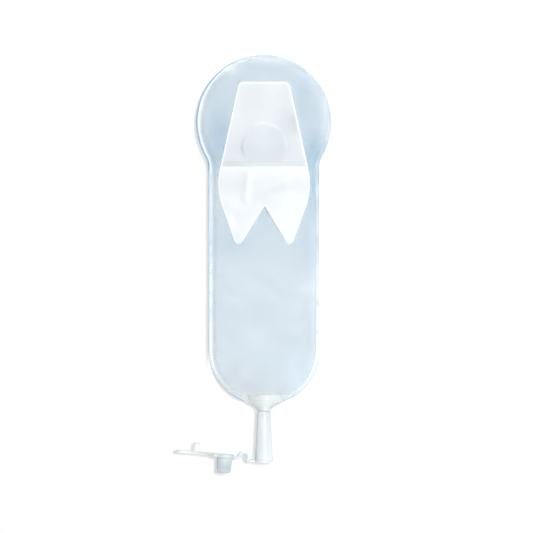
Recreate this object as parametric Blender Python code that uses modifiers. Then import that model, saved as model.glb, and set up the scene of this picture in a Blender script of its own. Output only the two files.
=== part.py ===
"""Body-worn urine drainage pouch, lying on its back as it rests on a table.

Two sheets of film are welded round their edge. A tooth-shaped adhesive barrier with an egg-shaped opening
sits on the upper sheet, under a release liner in two halves. At the bottom a boat-shaped fitment is welded
between the sheets, and its stem carries a tapered drain spout. A tethered plug cap closes the spout.

Metres. X runs across the pouch, Y up the pouch, Z up from the table. The origin is on the table under the
middle of the barrier's opening.
"""

import math

import bmesh
import bpy
from mathutils import Matrix, Vector

MM = 0.001

# Clearance between pieces that touch, and the wider one where the flat facets of the film bridge the boat
GAP = 0.3 * MM
DRAPE_GAP = 0.5 * MM

# Film sheets. The pouch's length is from the top of the head to the floor of the pouch, above the fitment
POUCH_LENGTH = 241.6 * MM
FILM_THICKNESS = 0.3 * MM
HEAD_CENTRE_Y = 17.6 * MM
HEAD_RADIUS = 48.2 * MM
HEAD_FILLET = 18.0 * MM
BODY_HALF_WIDTH = 39.6 * MM
BOTTOM_CENTRE_X = 1.6 * MM
BOTTOM_SLOPE = math.radians(24.0)
SHOULDER_SLOPE = math.radians(30.0)
NECK_FILLET = 3.0 * MM
WELD_WIDTH = 3.2 * MM
PILLOW_HEIGHT = 0.6 * MM
PILLOW_RUN = 2.6 * MM
LIFT_RUN = 46.0 * MM
PARTING_RUN = 26.0 * MM
CREASE_MARGIN = 30.0 * MM

# Skin barrier
BARRIER_THICKNESS = 1.2 * MM
BARRIER_TOP_Y = 46.3 * MM
BARRIER_TOP_HALF_WIDTH = 17.8 * MM
BARRIER_TOP_RADIUS = 3.5 * MM
BARRIER_WAIST_Y = -29.5 * MM
BARRIER_WAIST_HALF_WIDTH = 34.4 * MM
BARRIER_WAIST_RADIUS = 48.0 * MM
LEG_TIP_Y = -72.6 * MM
LEG_TIP_X = 18.8 * MM
LEG_TIP_RADIUS = 3.0 * MM
NOTCH_Y = -42.5 * MM
NOTCH_RADIUS = 0.5 * MM
BARRIER_EDGE_ROUND = 0.35 * MM

# Egg-shaped opening in the barrier and in the front film
OPENING_HALF_WIDTH = 16.3 * MM
OPENING_RISE = 17.3 * MM
OPENING_DROP = 22.0 * MM
OPENING_POINT = 1.15
FILM_OPENING_MARGIN = 1.0 * MM

# Release liner
LINER_THICKNESS = 0.3 * MM
LINER_SPLIT_Y = -14.5 * MM
LINER_OVERLAP = 4.0 * MM
LINER_JOGGLE = 3.0 * MM
UPPER_LINER_INSET = 0.9 * MM

# Boat-shaped outlet fitment
BOAT_HALF_WIDTH = 11.4 * MM
BOAT_HALF_THICKNESS = 4.9 * MM
BOAT_SHOULDER = 5.7 * MM
BOAT_EDGE_MARGIN = 0.3 * MM
RIB_PITCH = 2.3 * MM
RIB_LAND = 1.1 * MM
RIB_HEIGHT = 0.4 * MM
STEM_LENGTH = 9.5 * MM
STEM_WALL = 0.7 * MM
STEM_FLUTES = 10
STEM_FLUTE_DEPTH = 0.22 * MM

# Drain spout
SPOUT_LENGTH = 36.1 * MM
SPOUT_TOP_RADIUS = 4.7 * MM
SPOUT_MOUTH_RADIUS = 6.5 * MM
SPOUT_WALL = 0.7 * MM
FLANGE_RADIUS = 6.8 * MM
FLANGE_THICKNESS = 1.5 * MM
MOUTH_CHAMFER = 0.35 * MM
LUG_REACH = 9.9 * MM

# Tether
STRAP_THICKNESS = 1.9 * MM
STRAP_WIDTH = 5.0 * MM
LOOP_OFFSET = 3.9 * MM
LOOP_HEIGHT = 6.2 * MM
LOOP_BASE_HALF_WIDTH = 2.1 * MM
LOOP_TOP_HALF_WIDTH = 1.3 * MM
LOOP_TROUGH = 2.9 * MM
LOOP_CREST_RADIUS = 1.3 * MM
LOOP_FOOT_RADIUS = 1.8 * MM

# Plug cap
CAP_REACH = 27.8 * MM
CAP_RISE = 3.1 * MM
CAP_TILT = math.radians(5.2)
DISC_RADIUS = 6.6 * MM
DISC_THICKNESS = 2.8 * MM
DISC_ROUND = 0.6 * MM
PLUG_LENGTH = 10.5 * MM
PLUG_WALL = 1.1 * MM
PLUG_CORE_DEPTH = 8.6 * MM
PLUG_TIP_ROUND = 1.5 * MM
PLUG_TIP_TURN = math.radians(72.0)
PRESS_TRAVEL = 7.5 * MM
PAD_REACH = 9.9 * MM
PAD_HALF_WIDTH = 4.6 * MM
PAD_STEP = 0.15 * MM
ARM_LENGTH = 35.1 * MM
ARM_HALF_WIDTH = 3.4 * MM
ARM_THICKNESS = 2.1 * MM
ARM_ROUND = 0.4 * MM
PEG_DISTANCE = 20.6 * MM
PEG_RADIUS = 2.7 * MM
PEG_TIP_RADIUS = 2.5 * MM
PEG_HEIGHT = 6.2 * MM

# Heights above the table
AXIS_Z = FLANGE_RADIUS
WELD_TOP_Z = 2 * FILM_THICKNESS + GAP
PILLOW_Z = WELD_TOP_Z + PILLOW_HEIGHT
BARRIER_Z = PILLOW_Z + GAP
BARRIER_TOP_Z = BARRIER_Z + BARRIER_THICKNESS
LINER_Z = BARRIER_TOP_Z + GAP

# Places along the pouch that follow from the sizes above
POUCH_FLOOR_Y = HEAD_CENTRE_Y + HEAD_RADIUS - POUCH_LENGTH
BOTTOM_ARC_RADIUS = BODY_HALF_WIDTH - BOTTOM_CENTRE_X
COLLAR_RADIUS = SPOUT_TOP_RADIUS
NECK_HALF_WIDTH = COLLAR_RADIUS + GAP
SHOULDER_END_Y = POUCH_FLOOR_Y - BOAT_SHOULDER
TAPER_END_Y = SHOULDER_END_Y - (BOAT_HALF_WIDTH - COLLAR_RADIUS) * math.tan(SHOULDER_SLOPE)
KNEE_X = BOAT_HALF_WIDTH + BOAT_EDGE_MARGIN

# Facets on the round pieces
ROUND_STEPS = 40
BOAT_STEPS = 40
TAPER_STEPS = 5
EGG_STEPS = 40
CORNER_STEPS = 6
TIP_STEPS = 12
RIM_STEPS = 3

# Facets along the film's edge, from the head down to the neck, and across it
HEAD_STEPS = 18
HEAD_FILLET_STEPS = 4
SIDE_STEPS = 9
BOTTOM_ARC_STEPS = 9
SLOPE_STEPS = 4
NECK_FILLET_STEPS = 3
NECK_STEPS = 6
WELD_RINGS = 8
INNER_RINGS = 4


def smooth(share):
    """Zero below 0, one above 1, and the cubic 3s^2 - 2s^3 between them."""
    share = min(max(share, 0.0), 1.0)
    return share * share * (3 - 2 * share)


def clear_scene():
    for obj in list(bpy.data.objects):
        bpy.data.objects.remove(obj, do_unlink=True)


def new_collection(name):
    collection = bpy.data.collections.new(name)
    bpy.context.scene.collection.children.link(collection)
    return collection


def plastic(name, colour, roughness, alpha=1.0):
    """A Principled material with no metal in it."""
    material = bpy.data.materials.new(name)
    material.use_nodes = True
    shader = material.node_tree.nodes["Principled BSDF"]
    shader.inputs["Base Color"].default_value = (*colour, 1.0)
    shader.inputs["Roughness"].default_value = roughness
    shader.inputs["Metallic"].default_value = 0.0
    shader.inputs["Alpha"].default_value = alpha
    return material


def link_mesh(name, mesh, collection, material=None):
    obj = bpy.data.objects.new(name, mesh)
    collection.objects.link(obj)
    if material is not None:
        mesh.materials.append(material)
    return obj


def hide_cutter(obj):
    obj.hide_render = True
    obj.display_type = "WIRE"


def shade_round(mesh, degrees=35.0):
    mesh.shade_smooth()
    mesh.set_sharp_from_angle(angle=math.radians(degrees))


def boolean(obj, other, operation):
    modifier = obj.modifiers.new(operation.title(), "BOOLEAN")
    modifier.operation = operation
    modifier.solver = "EXACT"
    modifier.object = other


def bevel(obj, width, segments=2):
    modifier = obj.modifiers.new("Edge", "BEVEL")
    modifier.width = width
    modifier.segments = segments
    modifier.limit_method = "ANGLE"
    modifier.angle_limit = math.radians(50.0)


def arc(centre, radius, start, end, steps):
    """Points on a circle from one angle to another, both ends included."""
    points = []
    for step in range(steps + 1):
        angle = start + (end - start) * step / steps
        points.append((centre[0] + radius * math.cos(angle), centre[1] + radius * math.sin(angle)))
    return points


def spaced(start, end, steps):
    """Points on a straight run, without its two ends."""
    points = []
    for step in range(1, steps):
        share = step / steps
        points.append((start[0] + (end[0] - start[0]) * share, start[1] + (end[1] - start[1]) * share))
    return points


def rounded(corners, steps, closed=True):
    """A polygon of (x, y, radius) corners with each corner made an arc that is tangent to both sides."""
    points = []
    count = len(corners)
    for index, (x, y, radius) in enumerate(corners):
        here = Vector((x, y))
        if radius <= 0 or (not closed and index in (0, count - 1)):
            points.append((x, y))
            continue
        before = (Vector(corners[index - 1][:2]) - here).normalized()
        after = (Vector(corners[(index + 1) % count][:2]) - here).normalized()
        half = before.angle(after) / 2
        centre = here + (before + after).normalized() * (radius / math.sin(half))
        start = here + before * (radius / math.tan(half)) - centre
        end = here + after * (radius / math.tan(half)) - centre
        first = math.atan2(start.y, start.x)
        turn = math.atan2(end.y, end.x) - first
        turn = (turn + math.pi) % (2 * math.pi) - math.pi
        points.extend(arc(centre, radius, first, first + turn, steps))
    return points


def flat_plate(name, outline, low_z, thickness, collection, material=None):
    """A flat outline made thick: a 2D curve with an extrude, turned into a mesh with its caps welded."""
    curve = bpy.data.curves.new(name, "CURVE")
    curve.dimensions = "2D"
    curve.fill_mode = "BOTH"
    curve.extrude = thickness / 2
    spline = curve.splines.new("POLY")
    spline.points.add(len(outline) - 1)
    for point, (x, y) in zip(spline.points, outline):
        point.co = (x, y, 0.0, 1.0)
    spline.use_cyclic_u = True
    guide = bpy.data.objects.new(name + "_guide", curve)
    collection.objects.link(guide)
    guide.location.z = low_z + thickness / 2
    bpy.context.view_layer.update()
    graph = bpy.context.evaluated_depsgraph_get()
    mesh = bpy.data.meshes.new_from_object(guide.evaluated_get(graph))
    mesh.materials.clear()
    form = bmesh.new()
    form.from_mesh(mesh)
    bmesh.ops.remove_doubles(form, verts=form.verts, dist=1e-7)
    bmesh.ops.recalc_face_normals(form, faces=form.faces)
    form.to_mesh(mesh)
    form.free()
    obj = link_mesh(name, mesh, collection, material)
    obj.matrix_world = guide.matrix_world.copy()
    bpy.data.objects.remove(guide, do_unlink=True)
    return obj


def turned(name, profile, collection, material=None, closed=False):
    """A profile of (radius, height) points turned about Z with a Screw modifier."""
    mesh = bpy.data.meshes.new(name)
    points = [(radius, 0.0, height) for radius, height in profile]
    edges = [(index, index + 1) for index in range(len(points) - 1)]
    if closed:
        edges.append((len(points) - 1, 0))
    mesh.from_pydata(points, edges, [])
    obj = link_mesh(name, mesh, collection, material)
    screw = obj.modifiers.new("Turn", "SCREW")
    screw.axis = "Z"
    screw.steps = ROUND_STEPS
    screw.render_steps = ROUND_STEPS
    screw.use_merge_vertices = True
    screw.merge_threshold = 1e-6
    screw.use_smooth_shade = True
    return obj


def bottom_arc_centre():
    """Centre of the arc that is tangent to the straight side and to the edge that slopes down to the knee."""
    touch_x = BOTTOM_CENTRE_X + BOTTOM_ARC_RADIUS * math.sin(BOTTOM_SLOPE)
    touch_y = SHOULDER_END_Y + (touch_x - KNEE_X) * math.tan(BOTTOM_SLOPE)
    return BOTTOM_CENTRE_X, touch_y + BOTTOM_ARC_RADIUS * math.cos(BOTTOM_SLOPE)


def neck_fillet_centre():
    """Centre of the hollow arc between the shoulder's edge, below the knee, and the neck's upright edge."""
    centre_x = NECK_HALF_WIDTH + NECK_FILLET
    touch_x = centre_x - NECK_FILLET * math.sin(SHOULDER_SLOPE)
    touch_y = SHOULDER_END_Y + (touch_x - KNEE_X) * math.tan(SHOULDER_SLOPE)
    return centre_x, touch_y - NECK_FILLET * math.cos(SHOULDER_SLOPE)


def film_half_outline():
    """Right half of the film's cut edge, from the top of the head down to the middle of the neck."""
    head = (0.0, HEAD_CENTRE_Y)
    fillet_x = BODY_HALF_WIDTH + HEAD_FILLET
    reach = HEAD_RADIUS + HEAD_FILLET
    lean = math.acos(fillet_x / reach)
    fillet = (fillet_x, HEAD_CENTRE_Y - reach * math.sin(lean))
    bottom = bottom_arc_centre()
    knee = (KNEE_X, SHOULDER_END_Y)
    neck = neck_fillet_centre()
    outline = arc(head, HEAD_RADIUS, math.pi / 2, -lean, HEAD_STEPS)
    outline += arc(fillet, HEAD_FILLET, math.pi - lean, math.pi, HEAD_FILLET_STEPS)[1:]
    outline += spaced(outline[-1], (BODY_HALF_WIDTH, bottom[1]), SIDE_STEPS)
    outline += arc(bottom, BOTTOM_ARC_RADIUS, 0.0, BOTTOM_SLOPE - math.pi / 2, BOTTOM_ARC_STEPS)
    outline += spaced(outline[-1], knee, SLOPE_STEPS)
    outline.append(knee)
    bend = arc(neck, NECK_FILLET, math.pi / 2 + SHOULDER_SLOPE, math.pi, NECK_FILLET_STEPS)
    outline += spaced(knee, bend[0], SLOPE_STEPS)
    outline += bend
    outline += spaced(bend[-1], (0.0, bend[-1][1]), NECK_STEPS)
    outline.append((0.0, bend[-1][1]))
    return outline


FILM_END_Y = neck_fillet_centre()[1]
SPOUT_TOP_Y = FILM_END_Y - GAP
MOUTH_Y = SPOUT_TOP_Y - SPOUT_LENGTH


def boat_half_width(y):
    """Half the boat's width, with the taper that follows the film's edge below the knee."""
    if y >= SHOULDER_END_Y:
        return BOAT_HALF_WIDTH
    return max(BOAT_HALF_WIDTH - (SHOULDER_END_Y - y) / math.tan(SHOULDER_SLOPE), COLLAR_RADIUS)


def boat_fullness(y):
    """Power that turns the pointed lens of the shoulder (1) into the round collar (0.5)."""
    return 1.0 - 0.5 * smooth((SHOULDER_END_Y - y) / (SHOULDER_END_Y - TAPER_END_Y))


def boat_half_thickness(y):
    share = smooth((SHOULDER_END_Y - y) / (SHOULDER_END_Y - TAPER_END_Y))
    return BOAT_HALF_THICKNESS + (COLLAR_RADIUS - BOAT_HALF_THICKNESS) * share


def film_parting(x, y):
    """Half the space between the sheets: the boat with its clearance, closing up above it in the pouch."""
    width = boat_half_width(y) + DRAPE_GAP + GAP
    inside = max(1.0 - (x / width) ** 2, 0.0)
    closing = 1.0 - smooth((y - POUCH_FLOOR_Y - GAP) / PARTING_RUN)
    height = (boat_half_thickness(y) + DRAPE_GAP) * inside ** boat_fullness(y)
    return max(height * closing, GAP / 2)


def film_lift(x, y):
    """One at the boat, where the sheets are held at the spout's axis, falling to zero on the table."""
    beside = max(abs(x) - BOAT_HALF_WIDTH, 0.0)
    above = max(y - POUCH_FLOOR_Y, 0.0)
    return 1.0 - smooth((math.hypot(beside, above) - GAP) / LIFT_RUN)


def film_surface(name, upper, collection, material):
    """One sheet as rings between the cut edge and the centre line, made thick away from the other sheet.

    The upper sheet's inner face stands at the weld's height with a low pillow inside the weld, and the
    lower sheet's inner face lies one film thickness above the table. Both rise to the boat near the outlet.
    """
    half = film_half_outline()
    outline = half + [(-x, y) for x, y in reversed(half[1:-1])]
    crease_low = POUCH_FLOOR_Y + CREASE_MARGIN
    crease_high = HEAD_CENTRE_Y + CREASE_MARGIN / 2
    form = bmesh.new()
    rings = []
    for x, y in outline:
        crease_y = min(max(y, crease_low), crease_high)
        reach = math.hypot(x, crease_y - y)
        weld = WELD_WIDTH / reach
        if y < POUCH_FLOOR_Y:
            weld = max(weld, (POUCH_FLOOR_Y - y) / (crease_y - y))
        rise = weld + PILLOW_RUN / reach
        shares = [weld * step / WELD_RINGS for step in range(WELD_RINGS + 1)]
        shares += [rise + (1 - rise) * step / INNER_RINGS for step in range(INNER_RINGS + 1)]
        ring = []
        for share in shares:
            px = x * (1 - share)
            py = y + (crease_y - y) * share
            lift = film_lift(px, py)
            if upper:
                pillow = PILLOW_HEIGHT * smooth((share - weld) / (rise - weld))
                flat_z = FILM_THICKNESS + GAP + pillow
                z = flat_z * (1 - lift) + (AXIS_Z + film_parting(px, py)) * lift
            else:
                z = FILM_THICKNESS * (1 - lift) + (AXIS_Z - film_parting(px, py)) * lift
            ring.append(form.verts.new((px, py, z)))
        rings.append(ring)
    for index, ring in enumerate(rings):
        following = rings[(index + 1) % len(rings)]
        for step in range(len(ring) - 1):
            form.faces.new((ring[step], ring[step + 1], following[step + 1], following[step]))
    bmesh.ops.remove_doubles(form, verts=form.verts, dist=1e-6)
    bmesh.ops.recalc_face_normals(form, faces=form.faces)
    if sum(face.normal.z for face in form.faces) < 0:
        bmesh.ops.reverse_faces(form, faces=form.faces)
    bmesh.ops.dissolve_limit(
        form, angle_limit=math.radians(0.05), verts=form.verts, edges=form.edges
    )
    mesh = bpy.data.meshes.new(name)
    form.to_mesh(mesh)
    form.free()
    obj = link_mesh(name, mesh, collection, material)
    solidify = obj.modifiers.new("Film", "SOLIDIFY")
    solidify.thickness = FILM_THICKNESS
    solidify.offset = 1.0 if upper else -1.0
    solidify.use_even_offset = True
    return obj


def barrier_corners(inset=0.0):
    """The tooth: straight top, waist, two legs and the notch between them, as (x, y, radius)."""
    right = [
        (BARRIER_TOP_HALF_WIDTH - inset, BARRIER_TOP_Y - inset, BARRIER_TOP_RADIUS),
        (BARRIER_WAIST_HALF_WIDTH - inset, BARRIER_WAIST_Y, BARRIER_WAIST_RADIUS),
        (LEG_TIP_X, LEG_TIP_Y + inset, LEG_TIP_RADIUS),
    ]
    left = [(-x, y, radius) for x, y, radius in reversed(right)]
    return right + [(0.0, NOTCH_Y, NOTCH_RADIUS)] + left


def egg(margin=0.0):
    """An ellipse with a lower half that is longer and an upper half drawn to a slight point."""
    points = []
    for step in range(EGG_STEPS):
        angle = 2 * math.pi * step / EGG_STEPS
        side = math.cos(angle)
        up = math.sin(angle)
        if up > 0:
            height = (OPENING_RISE + margin) * up
            width = math.copysign(abs(side) ** OPENING_POINT, side)
        else:
            height = (OPENING_DROP + margin) * up
            width = side
        points.append(((OPENING_HALF_WIDTH + margin) * width, height))
    return points


def make_barrier(parts, cutters, material):
    outline = rounded(barrier_corners(), CORNER_STEPS)
    obj = flat_plate("skin_barrier", outline, BARRIER_Z, BARRIER_THICKNESS, parts, material)
    hole = flat_plate("barrier_opening", egg(), 0.0, BARRIER_TOP_Z + LINER_Z, cutters)
    hide_cutter(hole)
    bevel(obj, BARRIER_EDGE_ROUND)
    boolean(obj, hole, "DIFFERENCE")
    return obj


def make_film_opening(film, cutters):
    margin = FILM_OPENING_MARGIN
    hole = flat_plate("film_opening", egg(margin), WELD_TOP_Z - FILM_THICKNESS, BARRIER_TOP_Z, cutters)
    hide_cutter(hole)
    boolean(film, hole, "DIFFERENCE")


def make_upper_liner(parts, cutters, material):
    """The upper half of the liner: the tooth, set in a little, cut off just below the split."""
    outline = rounded(barrier_corners(UPPER_LINER_INSET), CORNER_STEPS)
    obj = flat_plate("upper_liner", outline, LINER_Z, LINER_THICKNESS, parts, material)
    reach = 2 * BARRIER_WAIST_HALF_WIDTH
    low = LINER_SPLIT_Y - LINER_OVERLAP + GAP
    below = [(-reach, low), (reach, low), (reach, 2 * LEG_TIP_Y), (-reach, 2 * LEG_TIP_Y)]
    trim = flat_plate("upper_liner_trim", below, LINER_Z - BARRIER_THICKNESS, LINER_Z, cutters)
    hide_cutter(trim)
    boolean(obj, trim, "DIFFERENCE")
    return obj


def make_lower_liner(parts, cutters, material):
    """The lower half: a sheet that steps up over the upper half's edge, trimmed to the tooth's outline."""
    reach = 2 * BARRIER_WAIST_HALF_WIDTH
    step = LINER_THICKNESS + GAP
    low_y = LINER_SPLIT_Y - LINER_OVERLAP - GAP
    path = [
        (LINER_SPLIT_Y, LINER_Z + step),
        (low_y, LINER_Z + step),
        (low_y - LINER_JOGGLE, LINER_Z),
        (2 * LEG_TIP_Y, LINER_Z),
    ]
    form = bmesh.new()
    left = [form.verts.new((-reach, y, z)) for y, z in path]
    right = [form.verts.new((reach, y, z)) for y, z in path]
    for index in range(len(path) - 1):
        form.faces.new((left[index], left[index + 1], right[index + 1], right[index]))
    bmesh.ops.recalc_face_normals(form, faces=form.faces)
    if sum(face.normal.z for face in form.faces) < 0:
        bmesh.ops.reverse_faces(form, faces=form.faces)
    mesh = bpy.data.meshes.new("lower_liner")
    form.to_mesh(mesh)
    form.free()
    obj = link_mesh("lower_liner", mesh, parts, material)
    solidify = obj.modifiers.new("Sheet", "SOLIDIFY")
    solidify.thickness = LINER_THICKNESS
    solidify.offset = 1.0
    solidify.use_even_offset = True
    outline = rounded(barrier_corners(), CORNER_STEPS)
    tooth = flat_plate("liner_outline", outline, 0.0, 2 * LINER_Z, cutters)
    hide_cutter(tooth)
    boolean(obj, tooth, "INTERSECT")
    return obj


def boat_section(y, half_width, half_thickness, fullness, flutes=0.0):
    """Points round one section: x = w cos a, z = h |sin a| to twice the fullness, with flutes on a stem."""
    points = []
    for step in range(BOAT_STEPS):
        angle = 2 * math.pi * step / BOAT_STEPS
        up = math.sin(angle)
        trim = 1.0 - flutes * (0.5 - 0.5 * math.cos(STEM_FLUTES * angle))
        x = half_width * math.cos(angle) * trim
        z = half_thickness * math.copysign(abs(up) ** (2 * fullness), up) * trim
        points.append((x, y, AXIS_Z + z))
    return points


def make_fitment(parts, cutters, material):
    """Loft from the pointed weld base with its ribs, through the round collar, to the fluted stem."""
    sections = []
    start = POUCH_FLOOR_Y
    ribs = int((BOAT_SHOULDER - RIB_LAND) / RIB_PITCH + 1e-6) + 1
    for rib in range(ribs):
        rib_y = start - rib * RIB_PITCH
        if rib:
            depth = 1.0 - RIB_HEIGHT / BOAT_HALF_THICKNESS
            for edge in (RIB_PITCH - RIB_LAND - GAP, GAP):
                groove_y = rib_y + edge
                sections.append(
                    boat_section(
                        groove_y, BOAT_HALF_WIDTH - RIB_HEIGHT, BOAT_HALF_THICKNESS * depth, 1.0
                    )
                )
        for land_y in (rib_y, rib_y - RIB_LAND):
            sections.append(boat_section(land_y, BOAT_HALF_WIDTH, BOAT_HALF_THICKNESS, 1.0))
    taper_start = start - (ribs - 1) * RIB_PITCH - RIB_LAND
    for step in range(1, TAPER_STEPS + 1):
        y = taper_start + (TAPER_END_Y - taper_start) * step / TAPER_STEPS
        sections.append(
            boat_section(y, boat_half_width(y), boat_half_thickness(y), boat_fullness(y))
        )
    sections.append(boat_section(FILM_END_Y, COLLAR_RADIUS, COLLAR_RADIUS, 0.5))
    stem_radius = SPOUT_TOP_RADIUS - SPOUT_WALL - GAP
    stem_end = SPOUT_TOP_Y - STEM_LENGTH
    flutes = STEM_FLUTE_DEPTH / stem_radius
    for y in (FILM_END_Y - GAP / 2, stem_end):
        sections.append(boat_section(y, stem_radius, stem_radius, 0.5, flutes))
    form = bmesh.new()
    rings = [[form.verts.new(point) for point in section] for section in sections]
    for ring, following in zip(rings, rings[1:]):
        for step in range(BOAT_STEPS):
            after = (step + 1) % BOAT_STEPS
            form.faces.new((ring[step], ring[after], following[after], following[step]))
    form.faces.new(rings[0])
    form.faces.new(rings[-1])
    bmesh.ops.recalc_face_normals(form, faces=form.faces)
    mesh = bpy.data.meshes.new("outlet_fitment")
    form.to_mesh(mesh)
    form.free()
    obj = link_mesh("outlet_fitment", mesh, parts, material)
    shade_round(mesh)
    bore_radius = stem_radius - STEM_WALL
    past_both_ends = 4 * STEM_WALL
    length = POUCH_FLOOR_Y - stem_end + past_both_ends
    bore = cylinder("fitment_bore", bore_radius, bore_radius, length, cutters)
    bore.rotation_euler.x = math.pi / 2
    bore.location = (0.0, (POUCH_FLOOR_Y + stem_end) / 2, AXIS_Z)
    hide_cutter(bore)
    boolean(obj, bore, "DIFFERENCE")
    return obj


def cylinder(name, low_radius, high_radius, depth, collection, material=None):
    """A closed cylinder or cone along Z, centred on its origin."""
    form = bmesh.new()
    bmesh.ops.create_cone(
        form,
        cap_ends=True,
        segments=ROUND_STEPS,
        radius1=low_radius,
        radius2=high_radius,
        depth=depth,
    )
    mesh = bpy.data.meshes.new(name)
    form.to_mesh(mesh)
    form.free()
    return link_mesh(name, mesh, collection, material)


def box(name, low, high, collection):
    form = bmesh.new()
    bmesh.ops.create_cube(form, size=1.0)
    size = [high[axis] - low[axis] for axis in range(3)]
    middle = [(high[axis] + low[axis]) / 2 for axis in range(3)]
    bmesh.ops.scale(form, vec=size, verts=form.verts)
    bmesh.ops.translate(form, vec=middle, verts=form.verts)
    mesh = bpy.data.meshes.new(name)
    form.to_mesh(mesh)
    form.free()
    return link_mesh(name, mesh, collection)


def spout_radius_at(depth):
    """Radius of the spout's tapered outside at a depth in from its mouth."""
    return SPOUT_MOUTH_RADIUS + (SPOUT_TOP_RADIUS - SPOUT_MOUTH_RADIUS) * depth / SPOUT_LENGTH


def bore_radius_at(depth):
    return spout_radius_at(depth) - SPOUT_WALL


def make_spout(parts, cutters, material):
    """The tapered tube with its mouth flange, turned about Z and laid along Y, and the tether's lug."""
    profile = [
        (SPOUT_TOP_RADIUS, SPOUT_LENGTH),
        (spout_radius_at(FLANGE_THICKNESS), FLANGE_THICKNESS),
        (FLANGE_RADIUS, FLANGE_THICKNESS),
        (FLANGE_RADIUS, 0.0),
        (bore_radius_at(0.0) + MOUTH_CHAMFER, 0.0),
        (bore_radius_at(MOUTH_CHAMFER), MOUTH_CHAMFER),
        (bore_radius_at(SPOUT_LENGTH), SPOUT_LENGTH),
    ]
    obj = turned("drain_spout", profile, parts, material, closed=True)
    obj.location = (0.0, MOUTH_Y, AXIS_Z)
    obj.rotation_euler.x = -math.pi / 2
    lug = box(
        "tether_lug",
        (-LUG_REACH, MOUTH_Y, AXIS_Z - STRAP_WIDTH / 2),
        (-(FLANGE_RADIUS + bore_radius_at(0.0)) / 2, MOUTH_Y + STRAP_THICKNESS, AXIS_Z + STRAP_WIDTH / 2),
        cutters,
    )
    hide_cutter(lug)
    boolean(obj, lug, "UNION")
    return obj


def cap_point(across, up):
    """A point of the cap, given from the foot of its plug across the disc and up from its seating face."""
    turn = Matrix.Rotation(-CAP_TILT, 2)
    return turn @ Vector((across, up)) + Vector((-CAP_REACH, MOUTH_Y + CAP_RISE))


def swing_centre():
    """Centre of the turn that brings the plug from its rest to the spout's axis, PRESS_TRAVEL short."""
    start = cap_point(0.0, 0.0)
    end = Vector((0.0, MOUTH_Y - GAP - PRESS_TRAVEL))
    swing = math.pi + CAP_TILT
    across = end - start
    return (start + end) / 2 + Vector((-across.y, across.x)) / (2 * math.tan(swing / 2))


def strap_outline():
    """Both sides of the strap along its centre line, which has one hump between the lug and the cap."""
    start_x = -LUG_REACH - GAP
    low_y = MOUTH_Y + STRAP_THICKNESS / 2
    middle_x = start_x - LOOP_OFFSET
    crest_y = low_y + LOOP_HEIGHT
    end = cap_point(DISC_RADIUS + GAP, STRAP_THICKNESS / 2)
    trough = cap_point(DISC_RADIUS + GAP + LOOP_TROUGH, STRAP_THICKNESS / 2)
    corners = [
        (start_x, low_y, 0.0),
        (middle_x + LOOP_BASE_HALF_WIDTH, low_y, LOOP_FOOT_RADIUS),
        (middle_x + LOOP_TOP_HALF_WIDTH, crest_y, LOOP_CREST_RADIUS),
        (middle_x - LOOP_TOP_HALF_WIDTH, crest_y, LOOP_CREST_RADIUS),
        (trough.x, trough.y, LOOP_FOOT_RADIUS),
        (end.x, end.y, 0.0),
    ]
    centre_line = [Vector(point) for point in rounded(corners, CORNER_STEPS, closed=False)]
    sides = ([], [])
    for index, point in enumerate(centre_line):
        before = centre_line[max(index - 1, 0)]
        after = centre_line[min(index + 1, len(centre_line) - 1)]
        along = (after - before).normalized()
        across = Vector((-along.y, along.x)) * STRAP_THICKNESS / 2
        sides[0].append(tuple(point + across))
        sides[1].append(tuple(point - across))
    return sides[0] + sides[1][::-1]


def make_tether(parts, material):
    low_z = AXIS_Z - STRAP_WIDTH / 2
    return flat_plate("tether_loop", strap_outline(), low_z, STRAP_WIDTH, parts, material)


def plug_profile():
    """Half section of disc and plug: flat top, rounded rim, tapered plug with a rounded tip, hollow core."""
    def plug_radius(depth):
        return bore_radius_at(depth) - GAP

    tip_radius = plug_radius(PLUG_LENGTH)
    top = DISC_THICKNESS
    profile = [(0.0, top)]
    profile += arc((DISC_RADIUS - DISC_ROUND, top - DISC_ROUND), DISC_ROUND, math.pi / 2, 0.0, RIM_STEPS)
    profile += arc((DISC_RADIUS - DISC_ROUND, DISC_ROUND), DISC_ROUND, 0.0, -math.pi / 2, RIM_STEPS)
    profile.append((plug_radius(0.0), 0.0))
    corner = (tip_radius - PLUG_TIP_ROUND, PLUG_TIP_ROUND - PLUG_LENGTH)
    profile += arc(corner, PLUG_TIP_ROUND, 0.0, -PLUG_TIP_TURN, RIM_STEPS + 1)
    profile.append((tip_radius - PLUG_WALL, -PLUG_LENGTH))
    core_top = PLUG_CORE_DEPTH - PLUG_LENGTH
    profile.append((plug_radius(-core_top) - PLUG_WALL, core_top))
    profile.append((0.0, core_top))
    return profile


def arm_plan():
    """The finger arm seen from its flat side: half round at its tip, running into the disc."""
    half = ARM_HALF_WIDTH
    tip_x = -ARM_LENGTH + half
    outline = arc((tip_x, 0.0), half, math.pi / 2, 3 * math.pi / 2, TIP_STEPS)
    return outline + [(0.0, -half), (0.0, half)]


def pad_plan():
    """The thumb pad between the disc and the arm, round at its free end."""
    half = PAD_HALF_WIDTH
    outline = arc((-PAD_REACH + half, 0.0), half, math.pi / 2, 3 * math.pi / 2, TIP_STEPS)
    return outline + [(0.0, -half), (0.0, half)]


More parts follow.
